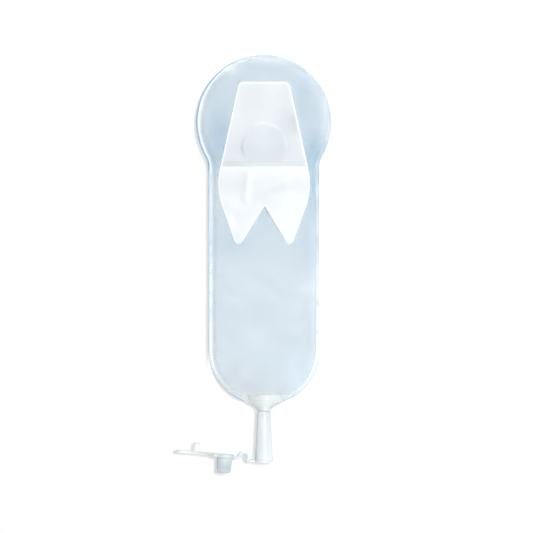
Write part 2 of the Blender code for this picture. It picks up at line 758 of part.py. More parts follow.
def make_cap(parts, cutters, material):
    """Disc and plug turned about the plug's axis, joined with the arm, the pad and the peg."""
    cap = turned("plug_cap", plug_profile(), parts, material)
    arm_low = DISC_THICKNESS - ARM_THICKNESS
    arm = flat_plate("cap_arm", arm_plan(), arm_low, ARM_THICKNESS, cutters)
    bevel(arm, ARM_ROUND)
    pad = flat_plate("cap_pad", pad_plan(), PAD_STEP, DISC_THICKNESS - 2 * PAD_STEP, cutters)
    bevel(pad, ARM_ROUND)
    peg_length = PEG_HEIGHT + ARM_THICKNESS / 2
    peg = cylinder("cap_peg", PEG_RADIUS, PEG_TIP_RADIUS, peg_length, cutters)
    peg.location = (-PEG_DISTANCE, 0.0, DISC_THICKNESS - ARM_THICKNESS / 2 + peg_length / 2)
    for piece in (arm, pad, peg):
        hide_cutter(piece)
        boolean(cap, piece, "UNION")
    foot = cap_point(0.0, 0.0)
    place = Matrix.Translation((foot.x, foot.y, AXIS_Z))
    place @= Matrix.Rotation(-CAP_TILT, 4, "Z") @ Matrix.Rotation(-math.pi / 2, 4, "X")
    for piece in (cap, arm, pad, peg):
        piece.matrix_world = place @ piece.matrix_basis
    return cap


def hang_on_pivot(pieces, collection):
    """An empty on the swing's axis carries the tether and the cap."""
    centre = swing_centre()
    pivot = bpy.data.objects.new("tether_pivot", None)
    collection.objects.link(pivot)
    pivot.location = (centre.x, centre.y, AXIS_Z)
    back = Matrix.Translation(pivot.location).inverted()
    for piece in pieces:
        piece.parent = pivot
        piece.matrix_parent_inverse = back


def main():
    clear_scene()
    parts = new_collection("drainage_pouch")
    cutters = new_collection("cutters")
    film_plastic = plastic("film", (0.62, 0.76, 0.86), 0.25, 0.6)
    barrier_paste = plastic("barrier", (0.80, 0.76, 0.66), 0.6)
    liner_paper = plastic("liner", (0.90, 0.93, 0.95), 0.45)
    fitment_plastic = plastic("fitment", (0.80, 0.86, 0.83), 0.35, 0.85)
    spout_plastic = plastic("spout", (0.74, 0.84, 0.90), 0.3, 0.75)
    film_surface("back_film", False, parts, film_plastic)
    front = film_surface("front_film", True, parts, film_plastic)
    make_film_opening(front, cutters)
    make_barrier(parts, cutters, barrier_paste)
    make_upper_liner(parts, cutters, liner_paper)
    make_lower_liner(parts, cutters, liner_paper)
    make_fitment(parts, cutters, fitment_plastic)
    make_spout(parts, cutters, spout_plastic)
    tether = make_tether(parts, spout_plastic)
    cap = make_cap(parts, cutters, spout_plastic)
    hang_on_pivot((tether, cap), parts)


main()
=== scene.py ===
"""Looks of the body-worn drainage pouch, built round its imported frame.

Metres. X runs across the pouch, Y up the pouch, Z up from the table. Every piece is worked out in place, so
its object stays at the origin.
"""

import math

import bmesh
import bpy
import numpy as np
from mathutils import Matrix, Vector


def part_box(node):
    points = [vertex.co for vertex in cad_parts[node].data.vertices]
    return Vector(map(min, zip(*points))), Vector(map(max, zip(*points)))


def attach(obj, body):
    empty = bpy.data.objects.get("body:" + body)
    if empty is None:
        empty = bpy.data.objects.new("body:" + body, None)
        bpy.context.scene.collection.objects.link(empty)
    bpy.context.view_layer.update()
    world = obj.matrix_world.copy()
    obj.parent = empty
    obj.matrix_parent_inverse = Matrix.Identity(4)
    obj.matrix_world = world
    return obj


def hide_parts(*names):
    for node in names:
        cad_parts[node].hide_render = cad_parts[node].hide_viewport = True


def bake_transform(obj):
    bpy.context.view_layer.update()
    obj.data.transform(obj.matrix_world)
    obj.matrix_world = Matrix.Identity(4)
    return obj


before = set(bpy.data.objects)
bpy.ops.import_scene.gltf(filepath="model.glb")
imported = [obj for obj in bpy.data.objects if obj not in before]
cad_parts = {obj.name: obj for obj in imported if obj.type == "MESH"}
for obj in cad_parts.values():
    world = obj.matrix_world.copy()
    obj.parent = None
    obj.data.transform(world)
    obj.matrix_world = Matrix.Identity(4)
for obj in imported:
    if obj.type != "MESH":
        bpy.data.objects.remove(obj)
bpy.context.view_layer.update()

MM = 0.001

# The photograph: 533 pixels across, 0.71 mm to a pixel, with the part's origin at this pixel
PHOTO_SIDE = 533
PIXEL = 0.71 * MM
ORIGIN_PIXEL = (264.1, 147.0)

# Rows and a column of the photograph at which a tone starts, stands or ends
LINER_TOP_ROW = 86
LINER_GREY_ROW = 112
LEFT_ARC_ROW = 148
RIGHT_SHEEN_ROW = 150
LINER_BAND_ROW = 164
HEAD_FOOT_ROW = 178
FOLD_ROW = 184
DEEP_END_ROW = 262
LIP_BLUE_ROW = 270
DULL_ROW = 320
BOTTOM_MILK_ROW = 335
LIP_LOW_RIGHT_ROW = 345
LIP_LOW_LEFT_ROW = 358
BEAD_SPLIT_ROW = 370
TEETH_ROW = 404
STEM_ROW = 424
ARCH_START_COLUMN = 248

# Creases and marks of the liner and the film, as paths and spots in the photograph's pixels. A spot is its
# centre, its half sizes and its share.
UPPER_CHEVRON = ((255.9, 125.4), (263.0, 122.4), (268.5, 124.6), (275.9, 127.2))
UPPER_LEFT_ARC = ((247.8, 134.5), (243.2, 141.0), (241.8, 147.0), (243.4, 153.0), (245.8, 157.8))
UPPER_RIGHT_ARC = ((281.5, 130.5), (287.0, 138.5), (288.6, 147.0), (286.0, 157.0))
LOWER_FOLD = ((248.9, 170.5), (247.2, 184.0), (245.6, 198.5))
LOWER_ARCH = ((246.5, 200.0), (253.0, 194.5), (262.0, 192.0), (272.0, 188.5), (284.0, 184.0))
LINER_DENT = (292.5, 122.5)
# Grey spots on the upper liner. The one at the dent is painted shade.
LINER_GREY_SPOTS = (
    (LINER_DENT, (11, 12), 0.34),
    ((232.0, 164.0), (12, 4), 0.20),
    ((277.0, 100.0), (16, 16), 0.10),
)
NOTCH_SHADE = (263.0, 201.0)
# Darker patches on the film. Those beside the barrier, in its notch and under its legs are painted shade. A
# negative share lightens.
FILM_DARK_SPOTS = (
    ((221, 140), (14, 28), 0.52),
    ((316, 164), (13, 30), 0.84),
    ((303, 102), (12, 30), 0.28),
    ((206, 162), (12, 12), 0.25),
    ((215, 208), (6, 30), -0.34),
    ((233, 246), (19, 10), 0.40),
    ((310, 254), (13, 14), 0.38),
    ((257, 362), (20, 16), 0.16),
    ((304, 366), (9, 16), 0.30),
    ((300, 384), (12, 11), 0.34),
    ((274, 362), (34, 22), 0.13),
    ((296, 352), (22, 22), 0.15),
    ((314, 198), (8, 34), 0.40),
    ((301, 240), (22, 9), 0.18),
    ((258, 212), (12, 14), 0.14),
    ((212, 120), (16, 26), 0.12),
)
# Paler patches on the film. Those round the head's rim are painted sheen.
FILM_PALE_SPOTS = (
    ((308, 288), (9, 8), 0.55),
    ((231, 69), (10, 6), 0.70),
    ((268, 60), (24, 4), 0.50),
    ((299, 74), (12, 5), 0.15),
    ((326, 108), (5, 24), 0.30),
    ((202, 100), (5, 30), 0.40),
    ((266, 331), (26, 7), 0.20),
    ((240, 300), (16, 6), 0.18),
    ((221, 368), (7, 18), 0.22),
)

# How strong the painted highlights on the weld's strips are down the left and the right side, by the
# photograph's rows
GLINT_LEFT = (
    (172, 0.0), (190, 0.30), (225, 0.32), (230, 0.20), (244, 0.18), (249, 0.45), (255, 0.22), (263, 0.22),
    (268, 0.50), (273, 0.30), (278, 0.45), (290, 0.45), (293, 0.26), (297, 0.45), (305, 0.45), (310, 0.28),
    (318, 0.36), (326, 0.58), (352, 0.60), (366, 0.48), (382, 0.20), (396, 0.05), (402, 0.0),
)
GLINT_RIGHT = (
    (172, 0.0), (190, 0.22), (228, 0.28), (262, 0.24), (271, 0.44), (299, 0.48), (303, 0.28), (308, 0.55),
    (328, 0.58), (332, 0.38), (336, 0.62), (360, 0.60), (372, 0.30), (384, 0.10), (398, 0.0),
)
# Painted highlight spots on the weld: each is a centre and half sizes
GLINT_SPOTS = (
    ((213.5, 267.5), (2.6, 1.4)),
    ((213.5, 357.0), (2.2, 1.4)),
    ((214.5, 303.0), (1.2, 1.2)),
    ((226.5, 69.5), (4.0, 1.8)),
    ((238.5, 61.0), (6.0, 1.4)),
)

# Ripples: the seed, how many sines, the shortest and the longest, and how far they turn
FILM_WAVES = (5, 9, 14 * MM, 40 * MM, 1.2)
WELD_CLOUDS = (31, 6, 9 * MM, 25 * MM, 1.5)
LINER_WAVES = (11, 6, 22 * MM, 50 * MM, 1.5)
LEG_COCKLES = (23, 7, 12 * MM, 30 * MM, 1.5)

# Clearances of the frame: between pieces that touch, and where the film bridges the fitment
GAP = 0.3 * MM
DRAPE_GAP = 0.5 * MM

# Film
FILM_THICKNESS = 0.3 * MM
HEAD_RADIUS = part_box("back_film")[1].x
HEAD_CENTRE_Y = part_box("back_film")[1].y - HEAD_RADIUS
HEAD_FILLET = 18.0 * MM
BODY_HALF_WIDTH = 39.6 * MM
BOTTOM_CENTRE_X = 1.6 * MM
BOTTOM_SLOPE = math.radians(24.0)
SHOULDER_SLOPE = math.radians(30.0)
NECK_FILLET = 3.0 * MM
WELD_WIDTH = 3.2 * MM
PILLOW_HEIGHT = 0.6 * MM
PILLOW_RUN = 2.6 * MM
LIFT_RUN = 46.0 * MM
PARTING_RUN = 26.0 * MM
CREASE_MARGIN = 30.0 * MM
BEAD_WIDTH = 0.5 * MM
BEAD_ROUND = 0.2 * MM
BEAD_START_SHARE = 0.64
CUT_LINE = 0.5 * MM
LEFT_STRIP = (1.45 * MM, 1.3 * MM)
RIGHT_STRIP = (1.85 * MM, 1.45 * MM)
ARC_STEPS = 60
EDGE_SPACING = 1.1 * MM
NECK_SPACING = 0.6 * MM
WELD_ROWS = 10
RISE_ROWS = 8
BODY_ROWS = 30

# Fitment
BOAT_HALF_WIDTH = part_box("outlet_fitment")[1].x
POUCH_FLOOR_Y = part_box("outlet_fitment")[1].y
BOAT_HALF_THICKNESS = 4.9 * MM
BOAT_SHOULDER = 5.7 * MM
BOAT_EDGE_MARGIN = 0.3 * MM
RIB_PITCH = 2.3 * MM
RIB_LAND = 1.1 * MM
RIB_HEIGHT = 0.4 * MM
STEM_LENGTH = 9.5 * MM
STEM_WALL = 0.7 * MM
STEM_FLUTES = 10
STEM_FLUTE_DEPTH = 0.22 * MM
COLLAR_ROUND = 0.3 * MM
WELD_TOOTH_PITCH = 2.2 * MM
BOAT_ROWS = 96
STEM_ROWS = 12
BORE_ROWS = 10
FITMENT_STEPS = 120

# Spout
SPOUT_TOP_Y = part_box("drain_spout")[1].y
MOUTH_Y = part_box("drain_spout")[0].y
SPOUT_LENGTH = SPOUT_TOP_Y - MOUTH_Y
SPOUT_TOP_RADIUS = 4.7 * MM
SPOUT_MOUTH_RADIUS = 6.5 * MM
SPOUT_WALL = 0.7 * MM
FLANGE_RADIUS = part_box("drain_spout")[1].x
FLANGE_THICKNESS = 1.5 * MM
MOUTH_CHAMFER = 0.35 * MM
LUG_REACH = -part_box("drain_spout")[0].x
LUG_ROUND = 0.3 * MM
SPOUT_ROUND = 0.25 * MM
SPOUT_SPACING = 0.3 * MM
SPOUT_STEPS = 96
AXIS_Z = FLANGE_RADIUS

# Barrier and liner
BARRIER_TOP_HALF_WIDTH = 17.8 * MM
BARRIER_TOP_RADIUS = 3.5 * MM
BARRIER_TOP_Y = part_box("skin_barrier")[1].y
BARRIER_WAIST_Y = -29.5 * MM
BARRIER_WAIST_HALF_WIDTH = 34.4 * MM
BARRIER_WAIST_RADIUS = 48.0 * MM
LEG_TIP_Y = -72.6 * MM
LEG_TIP_X = 18.8 * MM
LEG_TIP_RADIUS = 3.0 * MM
NOTCH_Y = -42.5 * MM
OPENING_HALF_WIDTH = 16.3 * MM
OPENING_RISE = 17.3 * MM
OPENING_DROP = 22.0 * MM
OPENING_POINT = 1.15
FILM_OPENING_MARGIN = 1.0 * MM
LINER_THICKNESS = 0.3 * MM
LINER_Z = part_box("upper_liner")[0].z
LINER_SPLIT_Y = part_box("lower_liner")[1].y
LINER_OVERLAP = 4.0 * MM
UPPER_LINER_INSET = 0.9 * MM
LINER_RIB_PITCH = 2.1 * MM
LINER_ROWS = 130
LINER_COLUMNS = 44

# Tether
STRAP_THICKNESS = 1.9 * MM
STRAP_WIDTH = 5.0 * MM
STRAP_ROUND = 0.35 * MM
LOOP_OFFSET = 3.9 * MM
LOOP_HEIGHT = 6.2 * MM
LOOP_BASE_HALF_WIDTH = 2.1 * MM
LOOP_TOP_HALF_WIDTH = 1.3 * MM
LOOP_TROUGH = 2.9 * MM
LOOP_CREST_RADIUS = 1.3 * MM
LOOP_FOOT_RADIUS = 1.8 * MM
STRAP_SPACING = 0.1 * MM

# Plug cap
CAP_REACH = 27.8 * MM
CAP_RISE = 3.1 * MM
CAP_TILT = math.radians(5.2)
DISC_RADIUS = 6.6 * MM
DISC_THICKNESS = 2.8 * MM
DISC_ROUND = 0.6 * MM
PLUG_LENGTH = 10.5 * MM
PLUG_WALL = 1.1 * MM
PLUG_CORE_DEPTH = 8.6 * MM
PLUG_TIP_ROUND = 1.5 * MM
PLUG_FOOT_ROUND = 0.25 * MM
PLUG_LIP_ROUND = 0.1 * MM
PLUG_CORE_ROUND = 0.4 * MM
PAD_REACH = 9.9 * MM
PAD_HALF_WIDTH = 4.6 * MM
PAD_STEP = 0.15 * MM
ARM_LENGTH = 35.1 * MM
ARM_HALF_WIDTH = 3.4 * MM
ARM_THICKNESS = 2.1 * MM
ARM_ROUND = 0.4 * MM
PEG_DISTANCE = 20.6 * MM
PEG_RADIUS = 2.7 * MM
PEG_TIP_RADIUS = 2.5 * MM
PEG_HEIGHT = 6.2 * MM
PEG_ROUND = 0.4 * MM
CAP_SPACING = 0.25 * MM
CAP_STEPS = 80

# Edges that turn by more than these stay sharp: on a single skin, and on joined ones
SHARP_TURN = math.radians(50.0)
JOINED_SHARP_TURN = math.radians(40.0)

# Colours
FILM_BLUES = ((0.555, 0.675, 0.765), (0.59, 0.70, 0.78))
FILM_DULL = (0.54, 0.58, 0.60)
# Deeper film blue: the film's own tone, and painted shade beside and under the barrier
FILM_DEEP = (0.36, 0.52, 0.64)
# Painted blue glow of light coming out of the film's cut edge
FILM_CUT = (0.12, 0.42, 0.70)
# The weld's milky white, partly painted sheen round the head's top and right
WELD_MILK_AND_SHEEN = (0.86, 0.90, 0.93)
WHITE = (1.0, 1.0, 1.0)
LIP_PALES = ((0.74, 0.85, 0.92), (0.84, 0.92, 0.96))
# The lip's painted blue glow from its cut edge, and its grey painted shade
LIP_BLUE = (0.13, 0.50, 0.74)
LIP_GREY = (0.31, 0.36, 0.40)
PAPER_WHITES = ((0.74, 0.775, 0.81), (0.77, 0.80, 0.83))
# Paper grey and bright: partly the paper's tone, mostly painted shade and painted highlights on the liner
PAPER_GREY = (0.44, 0.50, 0.54)
PAPER_BRIGHT = (0.88, 0.90, 0.91)
PASTES = ((0.75, 0.78, 0.80), (0.83, 0.85, 0.87))
# The deeper tint of each moulding is partly painted shade on its shaded sides and in its grooves
FITMENT_TINTS = ((0.79, 0.80, 0.785), (0.52, 0.61, 0.56))
SPOUT_TINTS = ((0.96, 0.985, 1.0), (0.26, 0.48, 0.66))
CAP_TINTS = ((0.99, 1.0, 1.0), (0.36, 0.53, 0.58))
FLOOR_WHITE = (0.915, 0.915, 0.915)
PLASTIC_IOR = 1.45

# Floor and camera
FLOOR_HALF_SIDE = 3.0
FLOOR_Z = -0.05 * MM
CAMERA_LENS = 200.0
SENSOR_WIDTH = 36.0

# Lamps: where they stand, how large they are and how strong
LAMP_AIM = (0.0, -0.08, 0.0)
KEY_PLACE = (0.38, 0.02, 1.29)
KEY_SIDE = 0.34
KEY_POWER = 9.15
SUN_PLACE = (0.66, 0.58, 0.29)
SUN_ANGLE = math.radians(16.0)
SUN_POWER = 3.65
FILL_PLACE = (0.0, -0.08, 1.40)
FILL_SIDE = 1.0
FILL_POWER = 8.4
ROOM_STRENGTH = 0.37

# Places that follow from the sizes above
BOTTOM_ARC_RADIUS = BODY_HALF_WIDTH - BOTTOM_CENTRE_X
COLLAR_RADIUS = SPOUT_TOP_RADIUS
NECK_HALF_WIDTH = COLLAR_RADIUS + GAP
SHOULDER_END_Y = POUCH_FLOOR_Y - BOAT_SHOULDER
TAPER_END_Y = SHOULDER_END_Y - (BOAT_HALF_WIDTH - COLLAR_RADIUS) * math.tan(SHOULDER_SLOPE)
KNEE_X = BOAT_HALF_WIDTH + BOAT_EDGE_MARGIN
BEAD_END_X = KNEE_X + 1.5 * MM
CREASE_LOW_Y = POUCH_FLOOR_Y + CREASE_MARGIN
CREASE_HIGH_Y = HEAD_CENTRE_Y + CREASE_MARGIN / 2
STEM_RADIUS = SPOUT_TOP_RADIUS - SPOUT_WALL - GAP
STEM_END_Y = SPOUT_TOP_Y - STEM_LENGTH
FILM_END_Y = SPOUT_TOP_Y + GAP


def row_y(row):
    """How far up the table a row of the photograph is."""
    return (ORIGIN_PIXEL[1] - row) * PIXEL


def row_at(y):
    """The photograph's row at a place up the table."""
    return ORIGIN_PIXEL[1] - y / PIXEL


def at_pixel(column, row):
    """The place on the table that the photograph shows at a pixel."""
    return (column - ORIGIN_PIXEL[0]) * PIXEL, row_y(row)


def smooth(share):
    """Zero below 0, one above 1, and the cubic 3s^2 - 2s^3 between them."""
    share = np.clip(share, 0.0, 1.0)
    return share * share * (3 - 2 * share)


def hill(distance, width):
    """A bell: one at no distance, falling off over the width."""
    return np.exp(-((distance / width) ** 2))


def strip(distance, middle, half_width):
    """One within the half width of a middle and zero outside it, with soft sides."""
    return smooth((half_width - np.abs(distance - middle)) / (0.5 * half_width))


def patch(x, y, pixel, half_size):
    """A soft oval patch centred on a pixel of the photograph, with its half sizes in pixels."""
    centre = at_pixel(*pixel)
    across = (x - centre[0]) / (half_size[0] * PIXEL)
    along = (y - centre[1]) / (half_size[1] * PIXEL)
    return np.exp(-(across**2 + along**2))


def spotted(x, y, spots):
    """The sum of soft oval patches, each by its share."""
    return sum(share * patch(x, y, *spot) for *spot, share in spots)


def path_reach(x, y, path):
    """Distance from a path through pixels, positive on its left hand, measured to its nearest stretch."""
    nearest = np.full(x.shape, np.inf)
    signed = np.zeros(x.shape)
    for start, end in zip(path, path[1:]):
        ax, ay = at_pixel(*start)
        bx, by = at_pixel(*end)
        length = math.hypot(bx - ax, by - ay)
        ux, uy = (bx - ax) / length, (by - ay) / length
        share = np.clip(((x - ax) * ux + (y - ay) * uy) / length, 0.0, 1.0)
        off_x = x - ax - share * (bx - ax)
        off_y = y - ay - share * (by - ay)
        reach = np.hypot(off_x, off_y)
        signed = np.where(reach < nearest, reach * np.sign(ux * off_y - uy * off_x), signed)
        nearest = np.minimum(nearest, reach)
    return signed


def ripples(x, y, seed, count, shortest, longest, spread):
    """A sum of sines of drawn lengths and phases that run up the pouch, turned by up to the spread."""
    draw = np.random.default_rng(seed)
    total = np.zeros_like(x)
    for _ in range(count):
        turn = draw.uniform(-spread, spread)
        length = draw.uniform(shortest, longest)
        phase = draw.uniform(0.0, 2 * math.pi)
        total += np.sin(2 * math.pi * (x * math.sin(turn) + y * math.cos(turn)) / length + phase)
    return total / math.sqrt(count)


def rounded(corners, steps, closed=True):
    """A polygon of (x, y, radius) corners, each made an arc tangent to both sides, as x and y arrays."""
    runs = []
    count = len(corners)
    for index, (x, y, radius) in enumerate(corners):
        here = np.array([x, y])
        if radius <= 0 or (not closed and index in (0, count - 1)):
            runs.append(here[None, :])
            continue
        before = np.array(corners[index - 1][:2]) - here
        after = np.array(corners[(index + 1) % count][:2]) - here
        before = before / np.linalg.norm(before)
        after = after / np.linalg.norm(after)
        half = math.acos(np.clip(before @ after, -1.0, 1.0)) / 2
        middle = before + after
        centre = here + middle / np.linalg.norm(middle) * radius / math.sin(half)
        start = here + before * radius / math.tan(half) - centre
        end = here + after * radius / math.tan(half) - centre
        first = math.atan2(start[1], start[0])
        turn = (math.atan2(end[1], end[0]) - first + math.pi) % (2 * math.pi) - math.pi
        angle = first + turn * np.linspace(0.0, 1.0, steps + 1)
        runs.append(centre + radius * np.stack([np.cos(angle), np.sin(angle)], axis=1))
    points = np.concatenate(runs)
    return points[:, 0], points[:, 1]


def full_turn(steps):
    """Evenly spaced angles once round."""
    return np.linspace(0.0, 2 * math.pi, steps, endpoint=False)


def point_grid(x, y, z):
    """Grids of x, y and z, each spread to the shape they share, as one array of points."""
    return np.stack(np.broadcast_arrays(x, y, z), axis=-1)


def side_of(x, y):
    """Unit vectors square to a closed line at each of its points, to the right of the way it runs."""
    step_x = np.roll(x, -1) - np.roll(x, 1)
    step_y = np.roll(y, -1) - np.roll(y, 1)
    length = np.hypot(step_x, step_y)
    return step_y / length, -step_x / length


def even_run(x, y, spacing):
    """The same line with its points at an even spacing along it."""
    along = np.concatenate([[0.0], np.cumsum(np.hypot(np.diff(x), np.diff(y)))])
    places = np.linspace(0.0, along[-1], max(int(round(along[-1] / spacing)), 2) + 1)
    return np.interp(places, along, x), np.interp(places, along, y)


def keep_mark(mesh, name, values):
    """Keeps one number to a point on a mesh, for its material."""
    layer = mesh.attributes.new(name, "FLOAT", "POINT")
    layer.data.foreach_set("value", values.astype(np.float32).ravel())


def grid_piece(
    name, points, material, wrap_rows=False, wrap_columns=False, ends=False, split=None, marks=None
):
    """A rows by columns by 3 array of points as quads, with doubles merged and faces turned outwards.

    Wrapping joins the last row or column to the first. Ends closes the first and the last row with one face
    each. Split is a column after which the grid is cut, so that the two sides join only where their points
    meet. Marks are named arrays of one number to a point, kept on the mesh for the material.
    """
    rows, columns = points.shape[:2]
    index = np.arange(rows * columns).reshape(rows, columns)
    if wrap_rows:
        index = np.concatenate([index, index[:1]], axis=0)
    if wrap_columns:
        index = np.concatenate([index, index[:, :1]], axis=1)
    quads = np.stack([index[:-1, :-1], index[:-1, 1:], index[1:, 1:], index[1:, :-1]], axis=-1)
    if split is not None:
        quads = np.delete(quads, split, axis=1)
    faces = quads.reshape(-1, 4).tolist()
    if ends:
        faces.append(index[0, :columns][::-1].tolist())
        faces.append(index[-1, :columns].tolist())
    mesh = bpy.data.meshes.new(name)
    mesh.from_pydata(points.reshape(-1, 3).tolist(), [], faces)
    for key, values in (marks or {}).items():
        keep_mark(mesh, key, np.broadcast_to(values, (rows, columns)))
    form = bmesh.new()
    form.from_mesh(mesh)
    bmesh.ops.remove_doubles(form, verts=form.verts, dist=1e-7)
    bmesh.ops.dissolve_degenerate(form, edges=form.edges, dist=1e-8)
    bmesh.ops.recalc_face_normals(form, faces=form.faces)
    form.to_mesh(mesh)
    form.free()
    mesh.materials.append(material)
    mesh.shade_smooth()
    piece = bpy.data.objects.new(name, mesh)
    bpy.context.scene.collection.objects.link(piece)
    return piece


def face_up(piece):
    """Turns an open sheet's faces to the sky."""
    mesh = piece.data
    normals = np.empty(len(mesh.polygons) * 3, np.float32)
    mesh.polygons.foreach_get("normal", normals)
    if normals[2::3].sum() < 0:
        mesh.flip_normals()


def thicken(piece, thickness, upwards):
    """Gives an open sheet its thickness, away from the face that was drawn."""
    face_up(piece)
    solidify = piece.modifiers.new("Thickness", "SOLIDIFY")
    solidify.thickness = thickness
    solidify.offset = 1.0 if upwards else -1.0
    solidify.use_even_offset = True


def points_of(piece):
    """A finished mesh's points as columns of x, y and z."""
    points = np.empty(len(piece.data.vertices) * 3, np.float32)
    piece.data.vertices.foreach_get("co", points)
    return points.reshape(-1, 3).T


def settle(piece):
    """Replaces a piece's mesh by what its modifiers make of it."""
    graph = bpy.context.evaluated_depsgraph_get()
    mesh = bpy.data.meshes.new_from_object(piece.evaluated_get(graph))
    piece.modifiers.clear()
    piece.data = mesh


def join(piece, others):
    """Joins solids that run into each other into one skin."""
    for other in others:
        union = piece.modifiers.new("Join", "BOOLEAN")
        union.operation = "UNION"
        union.object = other
    bpy.context.view_layer.update()
    settle(piece)
    for other in others:
        bpy.data.objects.remove(other, do_unlink=True)
    piece.data.shade_smooth()
    piece.data.set_sharp_from_angle(angle=JOINED_SHARP_TURN)


# Materials


def new_material(name):
    """A material with its node tree and its shader."""
    material = bpy.data.materials.new(name)
    material.use_nodes = True
    return material, material.node_tree, material.node_tree.nodes["Principled BSDF"]


def add_node(tree, kind, settings=None, **values):
    """A node with its settings and its input values."""
    node = tree.nodes.new(kind)
    for key, value in (settings or {}).items():
        setattr(node, key, value)
    for key, value in values.items():
        node.inputs[key.replace("_", " ")].default_value = value
    return node


def object_places(tree, scale):
    """Object coordinates, scaled along each axis."""
    coordinates = add_node(tree, "ShaderNodeTexCoord")
    mapping = add_node(tree, "ShaderNodeMapping", Scale=scale)
    tree.links.new(coordinates.outputs["Object"], mapping.inputs["Vector"])
    return mapping.outputs["Vector"]


def noise(tree, scale, detail=3.0, stretch=(1.0, 1.0, 1.0), roughness=0.5):
    """Cloudy noise on Object coordinates, from 0 to 1."""
    node = add_node(tree, "ShaderNodeTexNoise", Scale=scale, Detail=detail, Roughness=roughness)
    tree.links.new(object_places(tree, stretch), node.inputs["Vector"])
    return node.outputs["Fac"]


def ranged(tree, value, low, high, to_low, to_high):
    """A value from one range carried over to another, and held at its ends."""
    node = add_node(tree, "ShaderNodeMapRange", From_Min=low, From_Max=high, To_Min=to_low, To_Max=to_high)
    tree.links.new(value, node.inputs["Value"])
    return node.outputs["Result"]


def times(tree, first, second):
    """One value times another."""
    node = add_node(tree, "ShaderNodeMath", {"operation": "MULTIPLY"})
    tree.links.new(first, node.inputs[0])
    tree.links.new(second, node.inputs[1])
    return node.outputs[0]


def mark(tree, name):
    """A number kept on the mesh."""
    return add_node(tree, "ShaderNodeAttribute", {"attribute_name": name}).outputs["Fac"]


def blend_colour(tree, share, first, second):
    """A colour between two, each a colour or a socket."""
    node = add_node(tree, "ShaderNodeMix", {"data_type": "RGBA"})
    tree.links.new(share, node.inputs[0])
    for socket, colour in ((node.inputs[6], first), (node.inputs[7], second)):
        if isinstance(colour, tuple):
            socket.default_value = (*colour, 1.0)
        else:
            tree.links.new(colour, socket)
    return node.outputs[2]


def marked_colours(tree, colour, layers):
    """Lays each colour over the one below it where the mesh's mark of its name says."""
    for name, layer in layers:
        colour = blend_colour(tree, mark(tree, name), colour, layer)
    return colour


def surface(tree, shader, colour, rough_scale, smoothest, roughest):
    """Gives the shader its colour, and a roughness that drifts between two values."""
    tree.links.new(colour, shader.inputs["Base Color"])
    rough = ranged(tree, noise(tree, rough_scale), 0.3, 0.7, smoothest, roughest)
    tree.links.new(rough, shader.inputs["Roughness"])


def bump(tree, shader, height, strength, distance):
    """Raises the surface's shading by a height."""
    node = add_node(tree, "ShaderNodeBump", Strength=strength, Distance=distance)
    tree.links.new(height, node.inputs["Height"])
    tree.links.new(node.outputs["Normal"], shader.inputs["Normal"])


def film_material():
    """Translucent blue film: cloudy, grey low down, milky on the weld, white on puckers, blue on its edge.
    The white on the puckers is painted highlight. The deeper blue patches beside and under the barrier are
    painted shade. Part of the weld's milkiness, round the head's top and right, is painted sheen. The blue on
    the cut edge is a painted glow of light coming out of the film's edge.

    How much of each colour shows, and how dense the film is, come from the numbers kept on the mesh.
    """
    material, tree, shader = new_material("pouch_film")
    cloud = ranged(tree, noise(tree, 26.0, 3.0, (0.6, 1.3, 1.0)), 0.35, 0.68, 0.0, 1.0)
    colour = blend_colour(tree, cloud, *FILM_BLUES)
    colour = marked_colours(tree, colour, (("dull", FILM_DULL), ("deep", FILM_DEEP)))
    streak = ranged(tree, noise(tree, 150.0, 2.0), 0.3, 0.7, 0.6, 1.0)
    colour = blend_colour(tree, times(tree, mark(tree, "milk_and_sheen"), streak), colour, WELD_MILK_AND_SHEEN)
    colour = marked_colours(tree, colour, (("glint", WHITE), ("cut", FILM_CUT)))
    surface(tree, shader, colour, 60.0, 0.32, 0.44)
    tree.links.new(mark(tree, "veil"), shader.inputs["Alpha"])
    bump(tree, shader, noise(tree, 420.0, 4.0), 0.12, 0.0004)
    shader.inputs["IOR"].default_value = PLASTIC_IOR
    return material


def bead_material():
    """The weld's lip: pale film, a painted blue glow where light comes out of the cut edge, and grey painted
    shade where it lies in shade, low down on each side.

    The mesh says how much of each shows, and how dense the lip is.
    """
    material, tree, shader = new_material("weld_lip")
    cloud = ranged(tree, noise(tree, 110.0, 2.0), 0.35, 0.65, 0.0, 1.0)
    colour = blend_colour(tree, cloud, *LIP_PALES)
    colour = marked_colours(tree, colour, (("cut", LIP_BLUE), ("grey", LIP_GREY)))
    surface(tree, shader, colour, 160.0, 0.28, 0.42)
    tree.links.new(mark(tree, "veil"), shader.inputs["Alpha"])
    shader.inputs["IOR"].default_value = PLASTIC_IOR
    bump(tree, shader, noise(tree, 700.0, 3.0), 0.10, 0.0002)
    return material


def liner_material():
    """Coated release paper: near white, greyer and brighter where the mesh says, with a fine fibre.
    The grey is partly the paper's tone and mostly painted shade. The bright is painted highlight.
    """
    material, tree, shader = new_material("release_paper")
    fibre = ranged(tree, noise(tree, 220.0, 5.0, (1.0, 0.5, 1.0), 0.6), 0.3, 0.7, 0.0, 1.0)
    colour = blend_colour(tree, fibre, *PAPER_WHITES)
    colour = marked_colours(tree, colour, (("grey", PAPER_GREY), ("bright", PAPER_BRIGHT)))
    surface(tree, shader, colour, 90.0, 0.36, 0.50)
    bump(tree, shader, noise(tree, 900.0, 4.0), 0.15, 0.0002)
    return material


